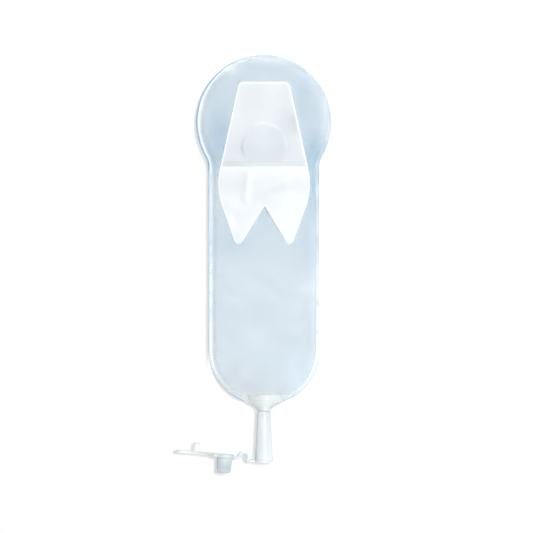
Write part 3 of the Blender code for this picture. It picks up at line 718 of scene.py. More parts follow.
def barrier_material():
    """Pale adhesive paste with a faint grain."""
    material, tree, shader = new_material("barrier_paste")
    grain = ranged(tree, noise(tree, 500.0, 4.0), 0.3, 0.7, 0.0, 1.0)
    colour = blend_colour(tree, grain, *PASTES)
    tree.links.new(colour, shader.inputs["Base Color"])
    shader.inputs["Roughness"].default_value = 0.6
    bump(tree, shader, noise(tree, 700.0, 4.0), 0.25, 0.0002)
    return material


def moulding_material(name, tints, alpha, roughness):
    """Milky moulding: the pale tint with flow clouds, and the deep tint where the mesh says, which is partly
    painted shade on shaded sides and in grooves.
    """
    material, tree, shader = new_material(name)
    cloud = ranged(tree, noise(tree, 90.0, 3.0, (1.0, 0.35, 1.0)), 0.35, 0.65, 0.0, 0.15)
    colour = blend_colour(tree, cloud, *tints)
    colour = marked_colours(tree, colour, (("deep", tints[1]),))
    surface(tree, shader, colour, 140.0, roughness, roughness + 0.1)
    bump(tree, shader, noise(tree, 600.0, 4.0), 0.10, 0.0002)
    shader.inputs["Alpha"].default_value = alpha
    shader.inputs["IOR"].default_value = PLASTIC_IOR
    return material


FILM = film_material()
BEAD = bead_material()
LINER = liner_material()
BARRIER = barrier_material()
FITMENT = moulding_material("fitment_moulding", FITMENT_TINTS, 1.0, 0.38)
SPOUT = moulding_material("spout_moulding", SPOUT_TINTS, 0.80, 0.30)
CAP = moulding_material("cap_moulding", CAP_TINTS, 0.78, 0.30)


# Film


def film_edge():
    """Right half of the cut edge, from the top of the head to the middle of the neck.

    The head is a circle, a hollow arc brings it in to the straight side, and the bottom is an arc that is
    tangent to the side and to the edge that slopes to the knee. Below the knee the edge follows the fitment's
    shoulder and ends in a small hollow arc and the upright neck.
    """
    reach = HEAD_RADIUS + HEAD_FILLET
    fillet_x = BODY_HALF_WIDTH + HEAD_FILLET
    lean = math.acos(fillet_x / reach)
    touch_x = BOTTOM_CENTRE_X + BOTTOM_ARC_RADIUS * math.sin(BOTTOM_SLOPE)
    bottom_y = SHOULDER_END_Y + (touch_x - KNEE_X) * math.tan(BOTTOM_SLOPE)
    bottom_y += BOTTOM_ARC_RADIUS * math.cos(BOTTOM_SLOPE)
    neck_x = NECK_HALF_WIDTH + NECK_FILLET
    neck_touch_x = neck_x - NECK_FILLET * math.sin(SHOULDER_SLOPE)
    neck_y = SHOULDER_END_Y + (neck_touch_x - KNEE_X) * math.tan(SHOULDER_SLOPE)
    neck_y -= NECK_FILLET * math.cos(SHOULDER_SLOPE)
    arcs = (
        (0.0, HEAD_CENTRE_Y, HEAD_RADIUS, math.pi / 2, -lean),
        (fillet_x, HEAD_CENTRE_Y - reach * math.sin(lean), HEAD_FILLET, math.pi - lean, math.pi),
        (BOTTOM_CENTRE_X, bottom_y, BOTTOM_ARC_RADIUS, 0.0, BOTTOM_SLOPE - math.pi / 2),
        (neck_x, neck_y, NECK_FILLET, math.pi / 2 + SHOULDER_SLOPE, math.pi),
    )
    runs = []
    for centre_x, centre_y, radius, start, end in arcs:
        angle = np.linspace(start, end, ARC_STEPS)
        runs.append(np.stack([centre_x + radius * np.cos(angle), centre_y + radius * np.sin(angle)]))
    runs.insert(3, np.array([[KNEE_X], [SHOULDER_END_Y]]))
    runs.append(np.array([[0.0], [neck_y]]))
    points = np.concatenate(runs, axis=1)
    body = even_run(*points[:, : 3 * ARC_STEPS], EDGE_SPACING)
    neck = even_run(*points[:, 3 * ARC_STEPS - 1 :], NECK_SPACING)
    return np.concatenate([body, np.array(neck)[:, 1:]], axis=1)


def whole_edge():
    """The cut edge from the top of the head down the right side, through the neck and up the left."""
    half_x, half_y = film_edge()
    return np.concatenate([half_x, -half_x[-2:0:-1]]), np.concatenate([half_y, half_y[-2:0:-1]])


def opening_half_width(y, margin):
    """Half the egg's width at a height: an ellipse below the middle, drawn to a slight point above it."""
    above = np.sqrt(np.clip(1 - (y / (OPENING_RISE + margin)) ** 2, 0.0, 1.0)) ** OPENING_POINT
    below = np.sqrt(np.clip(1 - (y / (OPENING_DROP + margin)) ** 2, 0.0, 1.0))
    return (OPENING_HALF_WIDTH + margin) * np.where(y > 0, above, below)


def boat_half_width(y):
    """Half the boat's width: full on the shoulder, then a straight taper in to the collar."""
    taper = np.maximum(BOAT_HALF_WIDTH - (SHOULDER_END_Y - y) / math.tan(SHOULDER_SLOPE), COLLAR_RADIUS)
    return np.where(y >= SHOULDER_END_Y, BOAT_HALF_WIDTH, taper)


def boat_taper(y):
    """Zero on the boat's shoulder and one at its collar."""
    return smooth((SHOULDER_END_Y - y) / (SHOULDER_END_Y - TAPER_END_Y))


def boat_half_thickness(y):
    """Half the boat's thickness, which runs into the collar's radius along the taper."""
    return BOAT_HALF_THICKNESS + (COLLAR_RADIUS - BOAT_HALF_THICKNESS) * boat_taper(y)


def film_parting(x, y):
    """Half the space between the sheets: the boat with its clearance, fanning out and closing up above it."""
    above = np.maximum(y - POUCH_FLOOR_Y, 0.0)
    width = boat_half_width(y) + DRAPE_GAP + GAP + 0.8 * above
    power = 1.0 - 0.5 * boat_taper(y) + smooth(above / (8 * MM))
    inside = np.maximum(1.0 - (x / width) ** 2, 0.0) ** power
    closing = 1.0 - smooth((y - POUCH_FLOOR_Y - GAP) / PARTING_RUN)
    return np.maximum((boat_half_thickness(y) + DRAPE_GAP) * inside * closing, GAP / 2)


def film_lift(x, y):
    """One at the boat, where the sheets are held at the spout's axis, and zero where they lie on the table.

    The fall is 10s^3 - 15s^4 + 6s^5, which leaves no line where it starts or ends.
    """
    beside = np.maximum(np.abs(x) - BOAT_HALF_WIDTH, 0.0)
    above = np.maximum(y - POUCH_FLOOR_Y, 0.0)
    share = np.clip((np.hypot(beside, above) - GAP) / LIFT_RUN, 0.0, 1.0)
    return 1.0 - share**3 * (10 - 15 * share + 6 * share**2)


def head_left(x, y):
    """One on the left of the head, and zero towards its top and below it."""
    return smooth((-x - 15 * MM) / (15 * MM)) * smooth((y - row_y(HEAD_FOOT_ROW)) / (8 * MM))


def seam_glint(x, y, depth):
    """Where the weld catches the light: a strip down each side, a line round the head's left, and spots."""
    row = row_at(y)
    left = np.interp(row, *np.transpose(GLINT_LEFT)) * strip(depth, *LEFT_STRIP)
    right = np.interp(row, *np.transpose(GLINT_RIGHT)) * strip(depth, *RIGHT_STRIP)
    spots = sum(patch(x, y, pixel, size) for pixel, size in GLINT_SPOTS)
    inner_line = 0.8 * hill(depth - 1.5 * MM, 0.5 * MM) * head_left(x, y)
    return np.clip(np.where(x < 0, left, right) + inner_line + 0.5 * spots, 0.0, 1.0)


def weld_milk_and_sheen(x, y, rim):
    """How milky the weld looks: faint round the head, more at its top and right, where the extra is painted
    sheen, and most round the bottom.
    """
    bottom = 0.5 * smooth((row_y(BOTTOM_MILK_ROW) - y) / (25 * MM)) * (1 - 0.7 * smooth(x / (20 * MM)))
    top = hill(x - 2 * MM, 24 * MM) * (y > HEAD_CENTRE_Y)
    right = 0.35 * smooth((x - 25 * MM) / (10 * MM)) * smooth((y - row_y(RIGHT_SHEEN_ROW)) / (15 * MM))
    cloud = 0.85 + 0.3 * ripples(x, y, *WELD_CLOUDS)
    return rim * np.clip((0.35 + 0.5 * bottom + 0.12 * top + 0.4 * right) * cloud, 0.0, 1.0)


def make_film(name, upper):
    """One sheet on rays from its cut edge to the centre line, or to the edge of its opening.

    The height is the frame's: the weld's height with a low pillow inside the weld, raised to the spout's axis
    towards the fitment. Puckers along the weld and slow waves over the body are added to the upper sheet.
    """
    edge_x, edge_y = whole_edge()
    inner_y = np.clip(edge_y, CREASE_LOW_Y, CREASE_HIGH_Y)
    inner_x = np.sign(edge_x) * opening_half_width(inner_y, FILM_OPENING_MARGIN) * upper
    reach = np.hypot(edge_x - inner_x, edge_y - inner_y)
    weld = WELD_WIDTH / reach
    to_floor = (POUCH_FLOOR_Y - edge_y) / (inner_y - edge_y + 1e-9)
    weld = np.where(edge_y < POUCH_FLOOR_Y, np.maximum(weld, to_floor), weld)
    rise = weld + PILLOW_RUN / reach
    tuck = np.where(np.abs(edge_x) > BEAD_END_X, BEAD_WIDTH / 2 / reach, 0.0)
    steps = np.concatenate(
        [
            tuck[:, None] + (weld - tuck)[:, None] * np.linspace(0.0, 1.0, WELD_ROWS),
            weld[:, None] + (rise - weld)[:, None] * np.linspace(0.0, 1.0, RISE_ROWS)[1:],
            rise[:, None] + (1 - rise)[:, None] * np.linspace(0.0, 1.0, BODY_ROWS)[1:],
        ],
        axis=1,
    )
    x = edge_x[:, None] + (inner_x - edge_x)[:, None] * steps
    y = edge_y[:, None] + (inner_y - edge_y)[:, None] * steps
    depth = steps * reach[:, None]
    lift = film_lift(x, y)
    glint = seam_glint(x, y, depth)
    if upper:
        pillow = PILLOW_HEIGHT * smooth((steps - weld[:, None]) / (rise - weld)[:, None])
        waves = 0.16 * MM * ripples(x, y, *FILM_WAVES)
        waves *= smooth((depth - 5 * MM) / (12 * MM))
        under_barrier = smooth((y - LEG_TIP_Y + 12 * MM) / (10 * MM))
        waves = waves * (1 - under_barrier) + 0.27 * MM * under_barrier * smooth((depth - 4 * MM) / (4 * MM))
        flat_z = FILM_THICKNESS + GAP + pillow + waves + 0.2 * MM * glint
        z = flat_z * (1 - lift) + (AXIS_Z + film_parting(x, y)) * lift
    else:
        z = FILM_THICKNESS * (1 - lift) + (AXIS_Z - film_parting(x, y)) * lift
    rim = 1.0 - smooth((steps / weld[:, None] - 0.75) / 0.5)
    # Deeper blue up the pouch, and darker patches, partly painted shade from the barrier
    deep = 0.34 * smooth((y - row_y(DEEP_END_ROW)) / (33 * MM))
    deep = deep + spotted(x, y, FILM_DARK_SPOTS)
    pale = spotted(x, y, FILM_PALE_SPOTS)
    # Painted glow: blue along the cut edge, strongest on the head's left, where light comes out of the film's
    # edge
    left_side = smooth((-x - 20 * MM) / (15 * MM))
    cut = hill(depth, CUT_LINE) * (0.15 + 0.30 * left_side + 0.55 * head_left(x, y))
    # The weld's milkiness, with painted sheen at the head's top and right, and the paler patches added to it
    milk_and_sheen = weld_milk_and_sheen(x, y, rim)
    over_fitment = smooth((POUCH_FLOOR_Y + 2 * MM - y) / (3 * MM)) * smooth((KNEE_X - np.abs(x)) / (2 * MM))
    dull = 0.36 * smooth((row_y(DULL_ROW) - y) / (40 * MM)) * (1 - 0.7 * over_fitment)
    dull = dull * (1 - 0.6 * smooth((-x - 14 * MM) / (14 * MM)))
    veil = 0.20 + 0.14 * milk_and_sheen + 0.55 * glint + 0.7 * cut + 0.14 * np.maximum(deep - 0.5, 0)
    marks = {
        "milk_and_sheen": np.clip(milk_and_sheen + pale, 0, 1),
        "glint": glint,
        "deep": np.clip(deep, 0, 1) * (1 - milk_and_sheen),
        "dull": dull,
        "cut": cut,
        "veil": np.clip(veil * (1 - 0.5 * over_fitment), 0, 1),
    }
    piece = grid_piece(name, point_grid(x, y, z), FILM, wrap_rows=True, marks=marks)
    thicken(piece, FILM_THICKNESS, upper)
    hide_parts("front_film" if upper else "back_film")
    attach(piece, "pouch")
    return piece


def make_bead(name, chosen):
    """The lip that the weld leaves on the chosen run of the cut edge: a rounded section carried along it.

    It closes the two sheets' edges, so it stands from the back sheet's outer face to the front sheet's.
    """
    edge_x, edge_y = whole_edge()
    in_x, in_y = side_of(edge_x, edge_y)
    start = int(np.argmax(chosen & ~np.roll(chosen, 1)))
    run = np.arange(start, start + chosen.sum()) % len(edge_x)
    half_height = FILM_THICKNESS + GAP / 2
    corners = [(0.0, half_height), (0.0, -half_height), (BEAD_WIDTH, -half_height), (BEAD_WIDTH, half_height)]
    inward, up = rounded([(*corner, BEAD_ROUND) for corner in corners], 3)
    x = edge_x[run][:, None] + in_x[run][:, None] * inward
    y = edge_y[run][:, None] + in_y[run][:, None] * inward
    lift = film_lift(edge_x[run], edge_y[run])[:, None]
    z = half_height * (1 - lift) + AXIS_Z * lift + up
    row = row_at(y)
    left = smooth((-x - 10 * MM) / (15 * MM))
    side_blue = 0.17 * smooth((LIP_BLUE_ROW - row) / 50)
    head_blue = 0.70 * smooth((HEAD_FOOT_ROW - row) / 12)
    low_right = smooth((x - 5 * MM) / (5 * MM)) * smooth((row - LIP_LOW_RIGHT_ROW) / 25)
    low_left = smooth((-x - 5 * MM) / (5 * MM)) * smooth((row - LIP_LOW_LEFT_ROW) / 20)
    # The blue on the lip is a painted glow of light out of the cut edge. The grey low down is painted shade.
    marks = {
        "cut": np.clip(0.03 + left * (0.08 + side_blue + head_blue) + 0.30 * low_right, 0, 1),
        "grey": np.clip(0.40 * low_right + 0.95 * low_left, 0, 1),
        "veil": 0.85 - 0.70 * left * hill(row - BEAD_SPLIT_ROW, 17),
    }
    piece = grid_piece(name, point_grid(x, y, z), BEAD, wrap_columns=True, ends=True, marks=marks)
    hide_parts("back_film")
    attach(piece, "pouch")


def make_beads():
    """Lips down the flat left side, from there to the fitment, and over the top and down the right.

    The left one starts where the edge turns away from the low sun, so that it throws no shade on the sheets.
    """
    edge_x, edge_y = whole_edge()
    low = edge_y < row_y(BEAD_SPLIT_ROW)
    top = (edge_y > HEAD_CENTRE_Y) & (edge_x > -BEAD_START_SHARE * HEAD_RADIUS)
    make_bead("weld_bead_left", (edge_x < 0) & ~low & ~top)
    make_bead("weld_bead_low_left", (edge_x < -BEAD_END_X) & low)
    make_bead("weld_bead_right", top | ((edge_x >= 0) & ((edge_x > BEAD_END_X) | ~low)))


# Liner


def tooth_chains(inset):
    """The tooth's right outer edge and its inner edge from the tip to the notch, as two lines of x and y."""
    corners = [
        (0.0, BARRIER_TOP_Y - inset, 0.0),
        (BARRIER_TOP_HALF_WIDTH - inset, BARRIER_TOP_Y - inset, BARRIER_TOP_RADIUS),
        (BARRIER_WAIST_HALF_WIDTH - inset, BARRIER_WAIST_Y, BARRIER_WAIST_RADIUS),
        (LEG_TIP_X, LEG_TIP_Y + inset, LEG_TIP_RADIUS),
        (0.0, NOTCH_Y, 0.0),
    ]
    x, y = rounded(corners, 24, closed=False)
    tip = int(np.argmin(y))
    return (x[: tip + 1], y[: tip + 1]), (x[tip:], y[tip:])


def tooth_sheet(name, inset, top_y, low_y, height, marks_of, material):
    """A sheet cut to the tooth: rows across each half, from the centre line or the notch out to the edge."""
    outer, inner = tooth_chains(inset)
    tip_y = outer[1][-1]
    low_y = max(low_y, tip_y)
    share = np.linspace(0.0, 1.0, LINER_ROWS)
    y = top_y + (low_y - top_y) * np.sin(share * math.pi / 2)
    outer_x = np.interp(-y, -outer[1], outer[0])
    inner_x = np.interp(y, inner[1], inner[0])
    inner_x = np.where(y >= NOTCH_Y, 0.0, inner_x)
    across = np.sin(np.linspace(0.0, 1.0, LINER_COLUMNS) * math.pi / 2)
    x = inner_x[:, None] + (outer_x - inner_x)[:, None] * across
    y = np.broadcast_to(y[:, None], x.shape)
    edge = outer_x[:, None] - x
    sides = []
    for side in (1.0, -1.0):
        sides.append((point_grid(side * x, y, height(side * x, y, edge)), marks_of(side * x, y, edge)))
    right, left = sides
    points = np.concatenate([left[0][:, ::-1], right[0]], axis=1)
    marks = {key: np.concatenate([left[1][key][:, ::-1], right[1][key]], axis=1) for key in right[1]}
    return grid_piece(name, points, material, split=x.shape[1] - 1, marks=marks)


def egg_reach(x, y):
    """How far a point is from the opening's edge, about, in metres: negative inside."""
    drop = np.where(y > 0, OPENING_RISE, OPENING_DROP)
    return (np.hypot(x / OPENING_HALF_WIDTH, y / drop) - 1.0) * OPENING_HALF_WIDTH


def upper_liner_height(x, y, edge):
    """Flat, with the opening's edge as a low step, fine bands towards the split, slow waves and a dent."""
    step = 0.08 * MM * smooth(0.5 - egg_reach(x, y) / (2.4 * MM)) * smooth((y + 12 * MM) / (8 * MM))
    bands = 0.012 * MM * np.sin(2 * math.pi * y / LINER_RIB_PITCH) * hill(y + 11 * MM, 4 * MM)
    waves = 0.10 * MM * ripples(x, y, *LINER_WAVES) * smooth((y + 10 * MM) / (12 * MM))
    dent = -0.25 * MM * patch(x, y, LINER_DENT, (8, 9))
    return LINER_Z + 0.25 * MM * smooth((y + 8 * MM) / (12 * MM)) + step + bands + waves + dent


def upper_liner_marks(x, y, edge):
    """Greyer inside the opening, in spots and towards the split. There is painted shade on the opening's left
    arc and in the dent, and painted highlights on the opening's top, outside its left arc, along the edges
    and towards the top.
    """
    low = smooth((row_y(LINER_GREY_ROW) - y) / (25 * MM))
    inside = smooth(-egg_reach(x, y) / (2.5 * MM)) * smooth((y + 13 * MM) / (4 * MM))
    ribs = (0.5 + 0.5 * np.cos(2 * math.pi * y / LINER_RIB_PITCH)) * hill(y - row_y(LINER_BAND_ROW), 3 * MM)
    left_arc = path_reach(x, y, UPPER_LEFT_ARC)
    grey = 0.20 + 0.13 * low + 0.10 * inside + 0.12 * ribs
    grey = grey + spotted(x, y, LINER_GREY_SPOTS)
    grey = grey + 0.45 * hill(left_arc, 0.7 * MM) * hill(y - row_y(LEFT_ARC_ROW), 6 * MM)
    grey = grey + 0.10 * hill(path_reach(x, y, UPPER_RIGHT_ARC), 0.7 * MM)
    bright = 0.32 * hill(path_reach(x, y, UPPER_CHEVRON), 0.6 * MM)
    bright = bright + 0.1 * hill(left_arc - 1.2 * MM, 0.7 * MM)
    bright = bright + 0.2 * smooth((y - row_y(LINER_TOP_ROW)) / (2 * MM)) + 0.15 * hill(edge, 0.8 * MM)
    return {"grey": np.clip(grey, 0, 1), "bright": np.clip(bright, 0, 1)}


def lower_liner_height(x, y, edge):
    """Runs down from over the upper half's edge, with one sharp crease, an arched one and cockled legs."""
    step = (LINER_THICKNESS + GAP) * smooth((y - LINER_SPLIT_Y + LINER_OVERLAP + 16 * MM) / (15 * MM))
    fold = np.maximum(1 - np.abs(path_reach(x, y, LOWER_FOLD)) / (4 * MM), 0.0)
    arch = hill(path_reach(x, y, LOWER_ARCH), 3 * MM)
    cockle = ripples(x, y, *LEG_COCKLES) * smooth((-30 * MM - y) / (15 * MM))
    ends = smooth(edge / (6 * MM)) * smooth((LINER_SPLIT_Y - y) / (5 * MM))
    return LINER_Z + step + (0.16 * MM * fold + 0.12 * MM * arch + 0.06 * MM * cockle) * ends


def lower_liner_marks(x, y, edge):
    """Painted shade: grey to the left of the crease, under the arch and above the notch. Painted highlights:
    bright on the raised edges and on the crease's right side. It is also a little brighter towards the right.
    """
    fold = path_reach(x, y, LOWER_FOLD)
    arch = path_reach(x, y, LOWER_ARCH)
    left = smooth(-fold / (0.7 * MM)) * hill(np.minimum(fold + 0.7 * MM, 0), 11 * MM)
    grey = 0.09 * left * hill(y - row_y(FOLD_ROW), 11 * MM)
    arch_start = at_pixel(ARCH_START_COLUMN, 0)[0]
    under = hill(arch + 1.8 * MM, 3.2 * MM) * smooth((x - arch_start) / (4 * MM))
    grey = grey + 0.10 * under + 0.13 * patch(x, y, NOTCH_SHADE, (12, 8))
    bright = 0.6 * hill(y - LINER_SPLIT_Y, 1.2 * MM) + 0.08 * smooth((x - 2 * MM) / (10 * MM))
    bright = bright + 0.4 * hill(edge, 0.8 * MM) + 0.5 * hill(fold - 0.4 * MM, 0.45 * MM)
    return {"grey": np.clip(grey, 0, 1), "bright": np.clip(bright, 0, 1)}


def make_liners():
    """The liner's two halves. The lower one's top edge lies over the upper one's foot."""
    low = LINER_SPLIT_Y - LINER_OVERLAP + GAP
    upper = tooth_sheet(
        "liner_upper_half", UPPER_LINER_INSET, BARRIER_TOP_Y - UPPER_LINER_INSET, low,
        upper_liner_height, upper_liner_marks, LINER,
    )
    lower = tooth_sheet(
        "liner_lower_half", 0.0, LINER_SPLIT_Y, LEG_TIP_Y, lower_liner_height, lower_liner_marks, LINER
    )
    for piece, node in ((upper, "upper_liner"), (lower, "lower_liner")):
        thicken(piece, LINER_THICKNESS, True)
        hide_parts(node)
        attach(piece, "pouch")


# Outlet


def turned_points(radius, along, steps):
    """A profile of radii and places along Y carried round the spout's axis."""
    angle = full_turn(steps)
    z = AXIS_Z + radius[:, None] * np.sin(angle)
    return point_grid(radius[:, None] * np.cos(angle), along[:, None], z)


def make_fitment():
    """Sections x = w cos a, z = h |sin a|^2f from the ribbed boat to the fluted stem, and the bore back."""
    shoulder = np.linspace(POUCH_FLOOR_Y, TAPER_END_Y, BOAT_ROWS)
    down = POUCH_FLOOR_Y - shoulder
    rib = (down % RIB_PITCH) / RIB_PITCH
    land = RIB_LAND / RIB_PITCH
    groove = smooth((rib - land) / 0.12) * smooth((1.0 - rib) / 0.12) * (down < BOAT_SHOULDER - RIB_LAND)
    width = boat_half_width(shoulder) - RIB_HEIGHT * groove
    height = boat_half_thickness(shoulder) - RIB_HEIGHT * groove
    power = 1.0 - 0.5 * boat_taper(shoulder)
    collar_y = np.array([TAPER_END_Y - 0.5 * MM, FILM_END_Y + COLLAR_ROUND, FILM_END_Y])
    collar = np.array([COLLAR_RADIUS, COLLAR_RADIUS, COLLAR_RADIUS - COLLAR_ROUND])
    stem_y = np.linspace(FILM_END_Y - GAP / 2, STEM_END_Y, STEM_ROWS)
    stem = np.full(STEM_ROWS, STEM_RADIUS)
    rows_y = np.concatenate([shoulder, collar_y, stem_y])
    rows_w = np.concatenate([width, collar, stem])
    rows_h = np.concatenate([height, collar, stem])
    rows_f = np.concatenate([power, np.full(len(collar) + STEM_ROWS, 0.5)])
    flutes = np.zeros(len(rows_y))
    flutes[-STEM_ROWS:] = STEM_FLUTE_DEPTH / STEM_RADIUS
    angle = full_turn(FITMENT_STEPS)
    trim = 1.0 - flutes[:, None] * (0.5 - 0.5 * np.cos(STEM_FLUTES * angle))
    up = np.sin(angle)
    x = rows_w[:, None] * np.cos(angle) * trim
    z = AXIS_Z + rows_h[:, None] * np.sign(up) * np.abs(up) ** (2 * rows_f[:, None]) * trim
    bore_y = np.linspace(STEM_END_Y, POUCH_FLOOR_Y, BORE_ROWS)
    bore = turned_points(np.full(BORE_ROWS, STEM_RADIUS - STEM_WALL), bore_y, FITMENT_STEPS)
    points = np.concatenate([point_grid(x, rows_y[:, None], z), bore])
    piece = grid_piece("outlet_boat", points, FITMENT, wrap_rows=True, wrap_columns=True)
    piece.data.set_sharp_from_angle(angle=SHARP_TURN)
    x, y, z = points_of(piece)
    down = POUCH_FLOOR_Y - y
    # Painted shade in the rib grooves and in the stem's flute troughs. The weld teeth are a pattern.
    grooves = smooth((down % RIB_PITCH - RIB_LAND) / (0.3 * MM)) * (y > TAPER_END_Y)
    teeth = 0.5 - 0.5 * np.cos(2 * math.pi * x / WELD_TOOTH_PITCH)
    teeth = teeth * hill(y - row_y(TEETH_ROW), WELD_TOOTH_PITCH)
    flutes = (0.5 - 0.5 * np.cos(STEM_FLUTES * np.arctan2(z - AXIS_Z, x))) * (y < SPOUT_TOP_Y - GAP)
    keep_mark(piece.data, "deep", np.clip(0.18 * grooves + 0.22 * teeth + 0.6 * flutes, 0, 1))
    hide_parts("outlet_fitment")
    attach(piece, "pouch")


def spout_radius(depth):
    """The tube's outer radius at a distance from its mouth."""
    return SPOUT_MOUTH_RADIUS + (SPOUT_TOP_RADIUS - SPOUT_MOUTH_RADIUS) * depth / SPOUT_LENGTH


def rounded_box(name, low, high, radius, material):
    """A box along Z with one long edge rounded, the one at its low x and high y.

    Both ends are sunk by the same radius, with a rim that slopes in at 45 degrees.
    """
    corners = [
        (low[0], low[1], 0.0),
        (high[0], low[1], 0.0),
        (high[0], high[1], 0.0),
        (low[0], high[1], radius),
    ]
    x, y = rounded(corners, 6)
    slope = radius * (1 - np.sin(np.linspace(0.0, math.pi / 2, 5)))
    heights = np.concatenate([low[2] + slope, high[2] - slope[::-1]])
    inset = np.concatenate([slope, slope[::-1]])[:, None]
    middle_x = (low[0] + high[0]) / 2
    middle_y = (low[1] + high[1]) / 2
    ring_x = middle_x + (x - middle_x) * (1 - 2 * inset / (high[0] - low[0]))
    ring_y = middle_y + (y - middle_y) * (1 - 2 * inset / (high[1] - low[1]))
    points = point_grid(ring_x, ring_y, heights[:, None])
    return grid_piece(name, points, material, wrap_columns=True, ends=True)


def make_spout():
    """The tapered tube with its rounded mouth flange, carried round the axis, and the tether's lug."""
    mouth, chamfer, top = (spout_radius(depth) - SPOUT_WALL for depth in (0.0, MOUTH_CHAMFER, SPOUT_LENGTH))
    corners = [
        (SPOUT_TOP_RADIUS, SPOUT_LENGTH, SPOUT_ROUND / 2),
        (spout_radius(FLANGE_THICKNESS), FLANGE_THICKNESS, 2 * SPOUT_ROUND),
        (FLANGE_RADIUS, FLANGE_THICKNESS, SPOUT_ROUND),
        (FLANGE_RADIUS, 0.0, SPOUT_ROUND),
        (mouth + MOUTH_CHAMFER, 0.0, SPOUT_ROUND / 2),
        (chamfer, MOUTH_CHAMFER, SPOUT_ROUND),
        (top, SPOUT_LENGTH, SPOUT_ROUND / 2),
    ]
    radius, depth = rounded(corners, 5)
    radius, depth = even_run(np.append(radius, radius[0]), np.append(depth, depth[0]), SPOUT_SPACING)
    points = turned_points(np.minimum(radius[:-1], FLANGE_RADIUS), MOUTH_Y + depth[:-1], SPOUT_STEPS)
    piece = grid_piece("spout_tube", points, SPOUT, wrap_rows=True, wrap_columns=True)
    lug = rounded_box(
        "tether_lug",
        (-LUG_REACH, MOUTH_Y, AXIS_Z - STRAP_WIDTH / 2),
        (-(FLANGE_RADIUS + mouth) / 2, MOUTH_Y + STRAP_THICKNESS, AXIS_Z + STRAP_WIDTH / 2),
        LUG_ROUND,
        SPOUT,
    )
    join(piece, [lug])
    x, y, z = points_of(piece)
    tube = y > MOUTH_Y + FLANGE_THICKNESS + SPOUT_ROUND
    # Painted shade: deeper blue down the tube's left side, away from the light
    left = smooth((-x / spout_radius(y - MOUTH_Y) - 0.80) / 0.14) * tube
    stem = smooth((y - row_y(STEM_ROW)) / (10 * MM))
    flutes = 0.5 + 0.5 * np.cos(STEM_FLUTES * np.arctan2(z - AXIS_Z, x))
    middle = hill(x - 0.5 * MM, 3.4 * MM) * tube * (0.16 + 0.09 * stem + 0.12 * stem * flutes)
    # Painted shade in the corner where the tube meets the flange
    line = hill(y - MOUTH_Y - FLANGE_THICKNESS, 0.6 * MM)
    keep_mark(piece.data, "deep", np.clip(0.34 * left + middle + 0.1 * line, 0, 1))
    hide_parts("drain_spout")
    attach(piece, "pouch")


# Tether and cap


def cap_point(across, up):
    """A point of the cap in the pouch's plane, from its place across the disc and up from the disc's foot."""
    x = -CAP_REACH + across * math.cos(CAP_TILT) + up * math.sin(CAP_TILT)
    y = MOUTH_Y + CAP_RISE - across * math.sin(CAP_TILT) + up * math.cos(CAP_TILT)
    return x, y


def lay_cap(points):
    """Cap points from their own axes, across, along the width and up the plug, to where the cap lies."""
    x, y = cap_point(points[..., 0], points[..., 2])
    return point_grid(x, y, AXIS_Z - points[..., 1])


def strap_line():
    """The strap's centre line from the lug over its hump to the cap's disc."""
    start_x = -LUG_REACH - GAP
    low_y = MOUTH_Y + STRAP_THICKNESS / 2
    middle_x = start_x - LOOP_OFFSET
    crest_y = low_y + LOOP_HEIGHT
    trough = cap_point(DISC_RADIUS + GAP + LOOP_TROUGH, STRAP_THICKNESS / 2)
    end = cap_point(DISC_RADIUS - GAP, STRAP_THICKNESS / 2)
    corners = [
        (-LUG_REACH + GAP, low_y, 0.0),
        (middle_x + LOOP_BASE_HALF_WIDTH, low_y, LOOP_FOOT_RADIUS),
        (middle_x + LOOP_TOP_HALF_WIDTH, crest_y, LOOP_CREST_RADIUS),
        (middle_x - LOOP_TOP_HALF_WIDTH, crest_y, LOOP_CREST_RADIUS),
        (*trough, LOOP_FOOT_RADIUS),
        (*end, 0.0),
    ]
    return even_run(*rounded(corners, 12, closed=False), STRAP_SPACING)


def make_tether():
    """A strap of rounded rectangular section along its line, in two halves that meet on the hump's crest."""
    x, y = strap_line()
    along = np.stack([np.gradient(x), np.gradient(y)], axis=-1)
    along /= np.linalg.norm(along, axis=-1)[:, None]
    half_t = STRAP_THICKNESS / 2
    half_w = STRAP_WIDTH / 2
    corners = [(half_t, half_w), (-half_t, half_w), (-half_t, -half_w), (half_t, -half_w)]
    across, up = rounded([(*corner, STRAP_ROUND) for corner in corners], 4)
    points = point_grid(
        x[:, None] - along[:, 1:2] * across, y[:, None] + along[:, 0:1] * across, AXIS_Z + up
    )
    crest = int(np.argmax(y))
    near = grid_piece("tether_near_half", points[: crest + 1], SPOUT, wrap_columns=True, ends=True)
    far = grid_piece("tether_far_half", points[crest:], SPOUT, wrap_columns=True, ends=True)
    for piece in (near, far):
        piece.data.set_sharp_from_angle(angle=SHARP_TURN)
        place_x, place_y = points_of(piece)[:2]
        leg = hill(place_y - y[0] - LOOP_HEIGHT / 2, 3 * MM)
        right_leg = smooth((place_x - x[crest]) / MM) * leg
        left_leg = smooth((x[crest] - place_x) / MM) * leg
        keep_mark(piece.data, "deep", 0.6 * right_leg + 0.3 * left_leg)
        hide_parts("tether_loop")
    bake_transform(near)
    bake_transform(far)


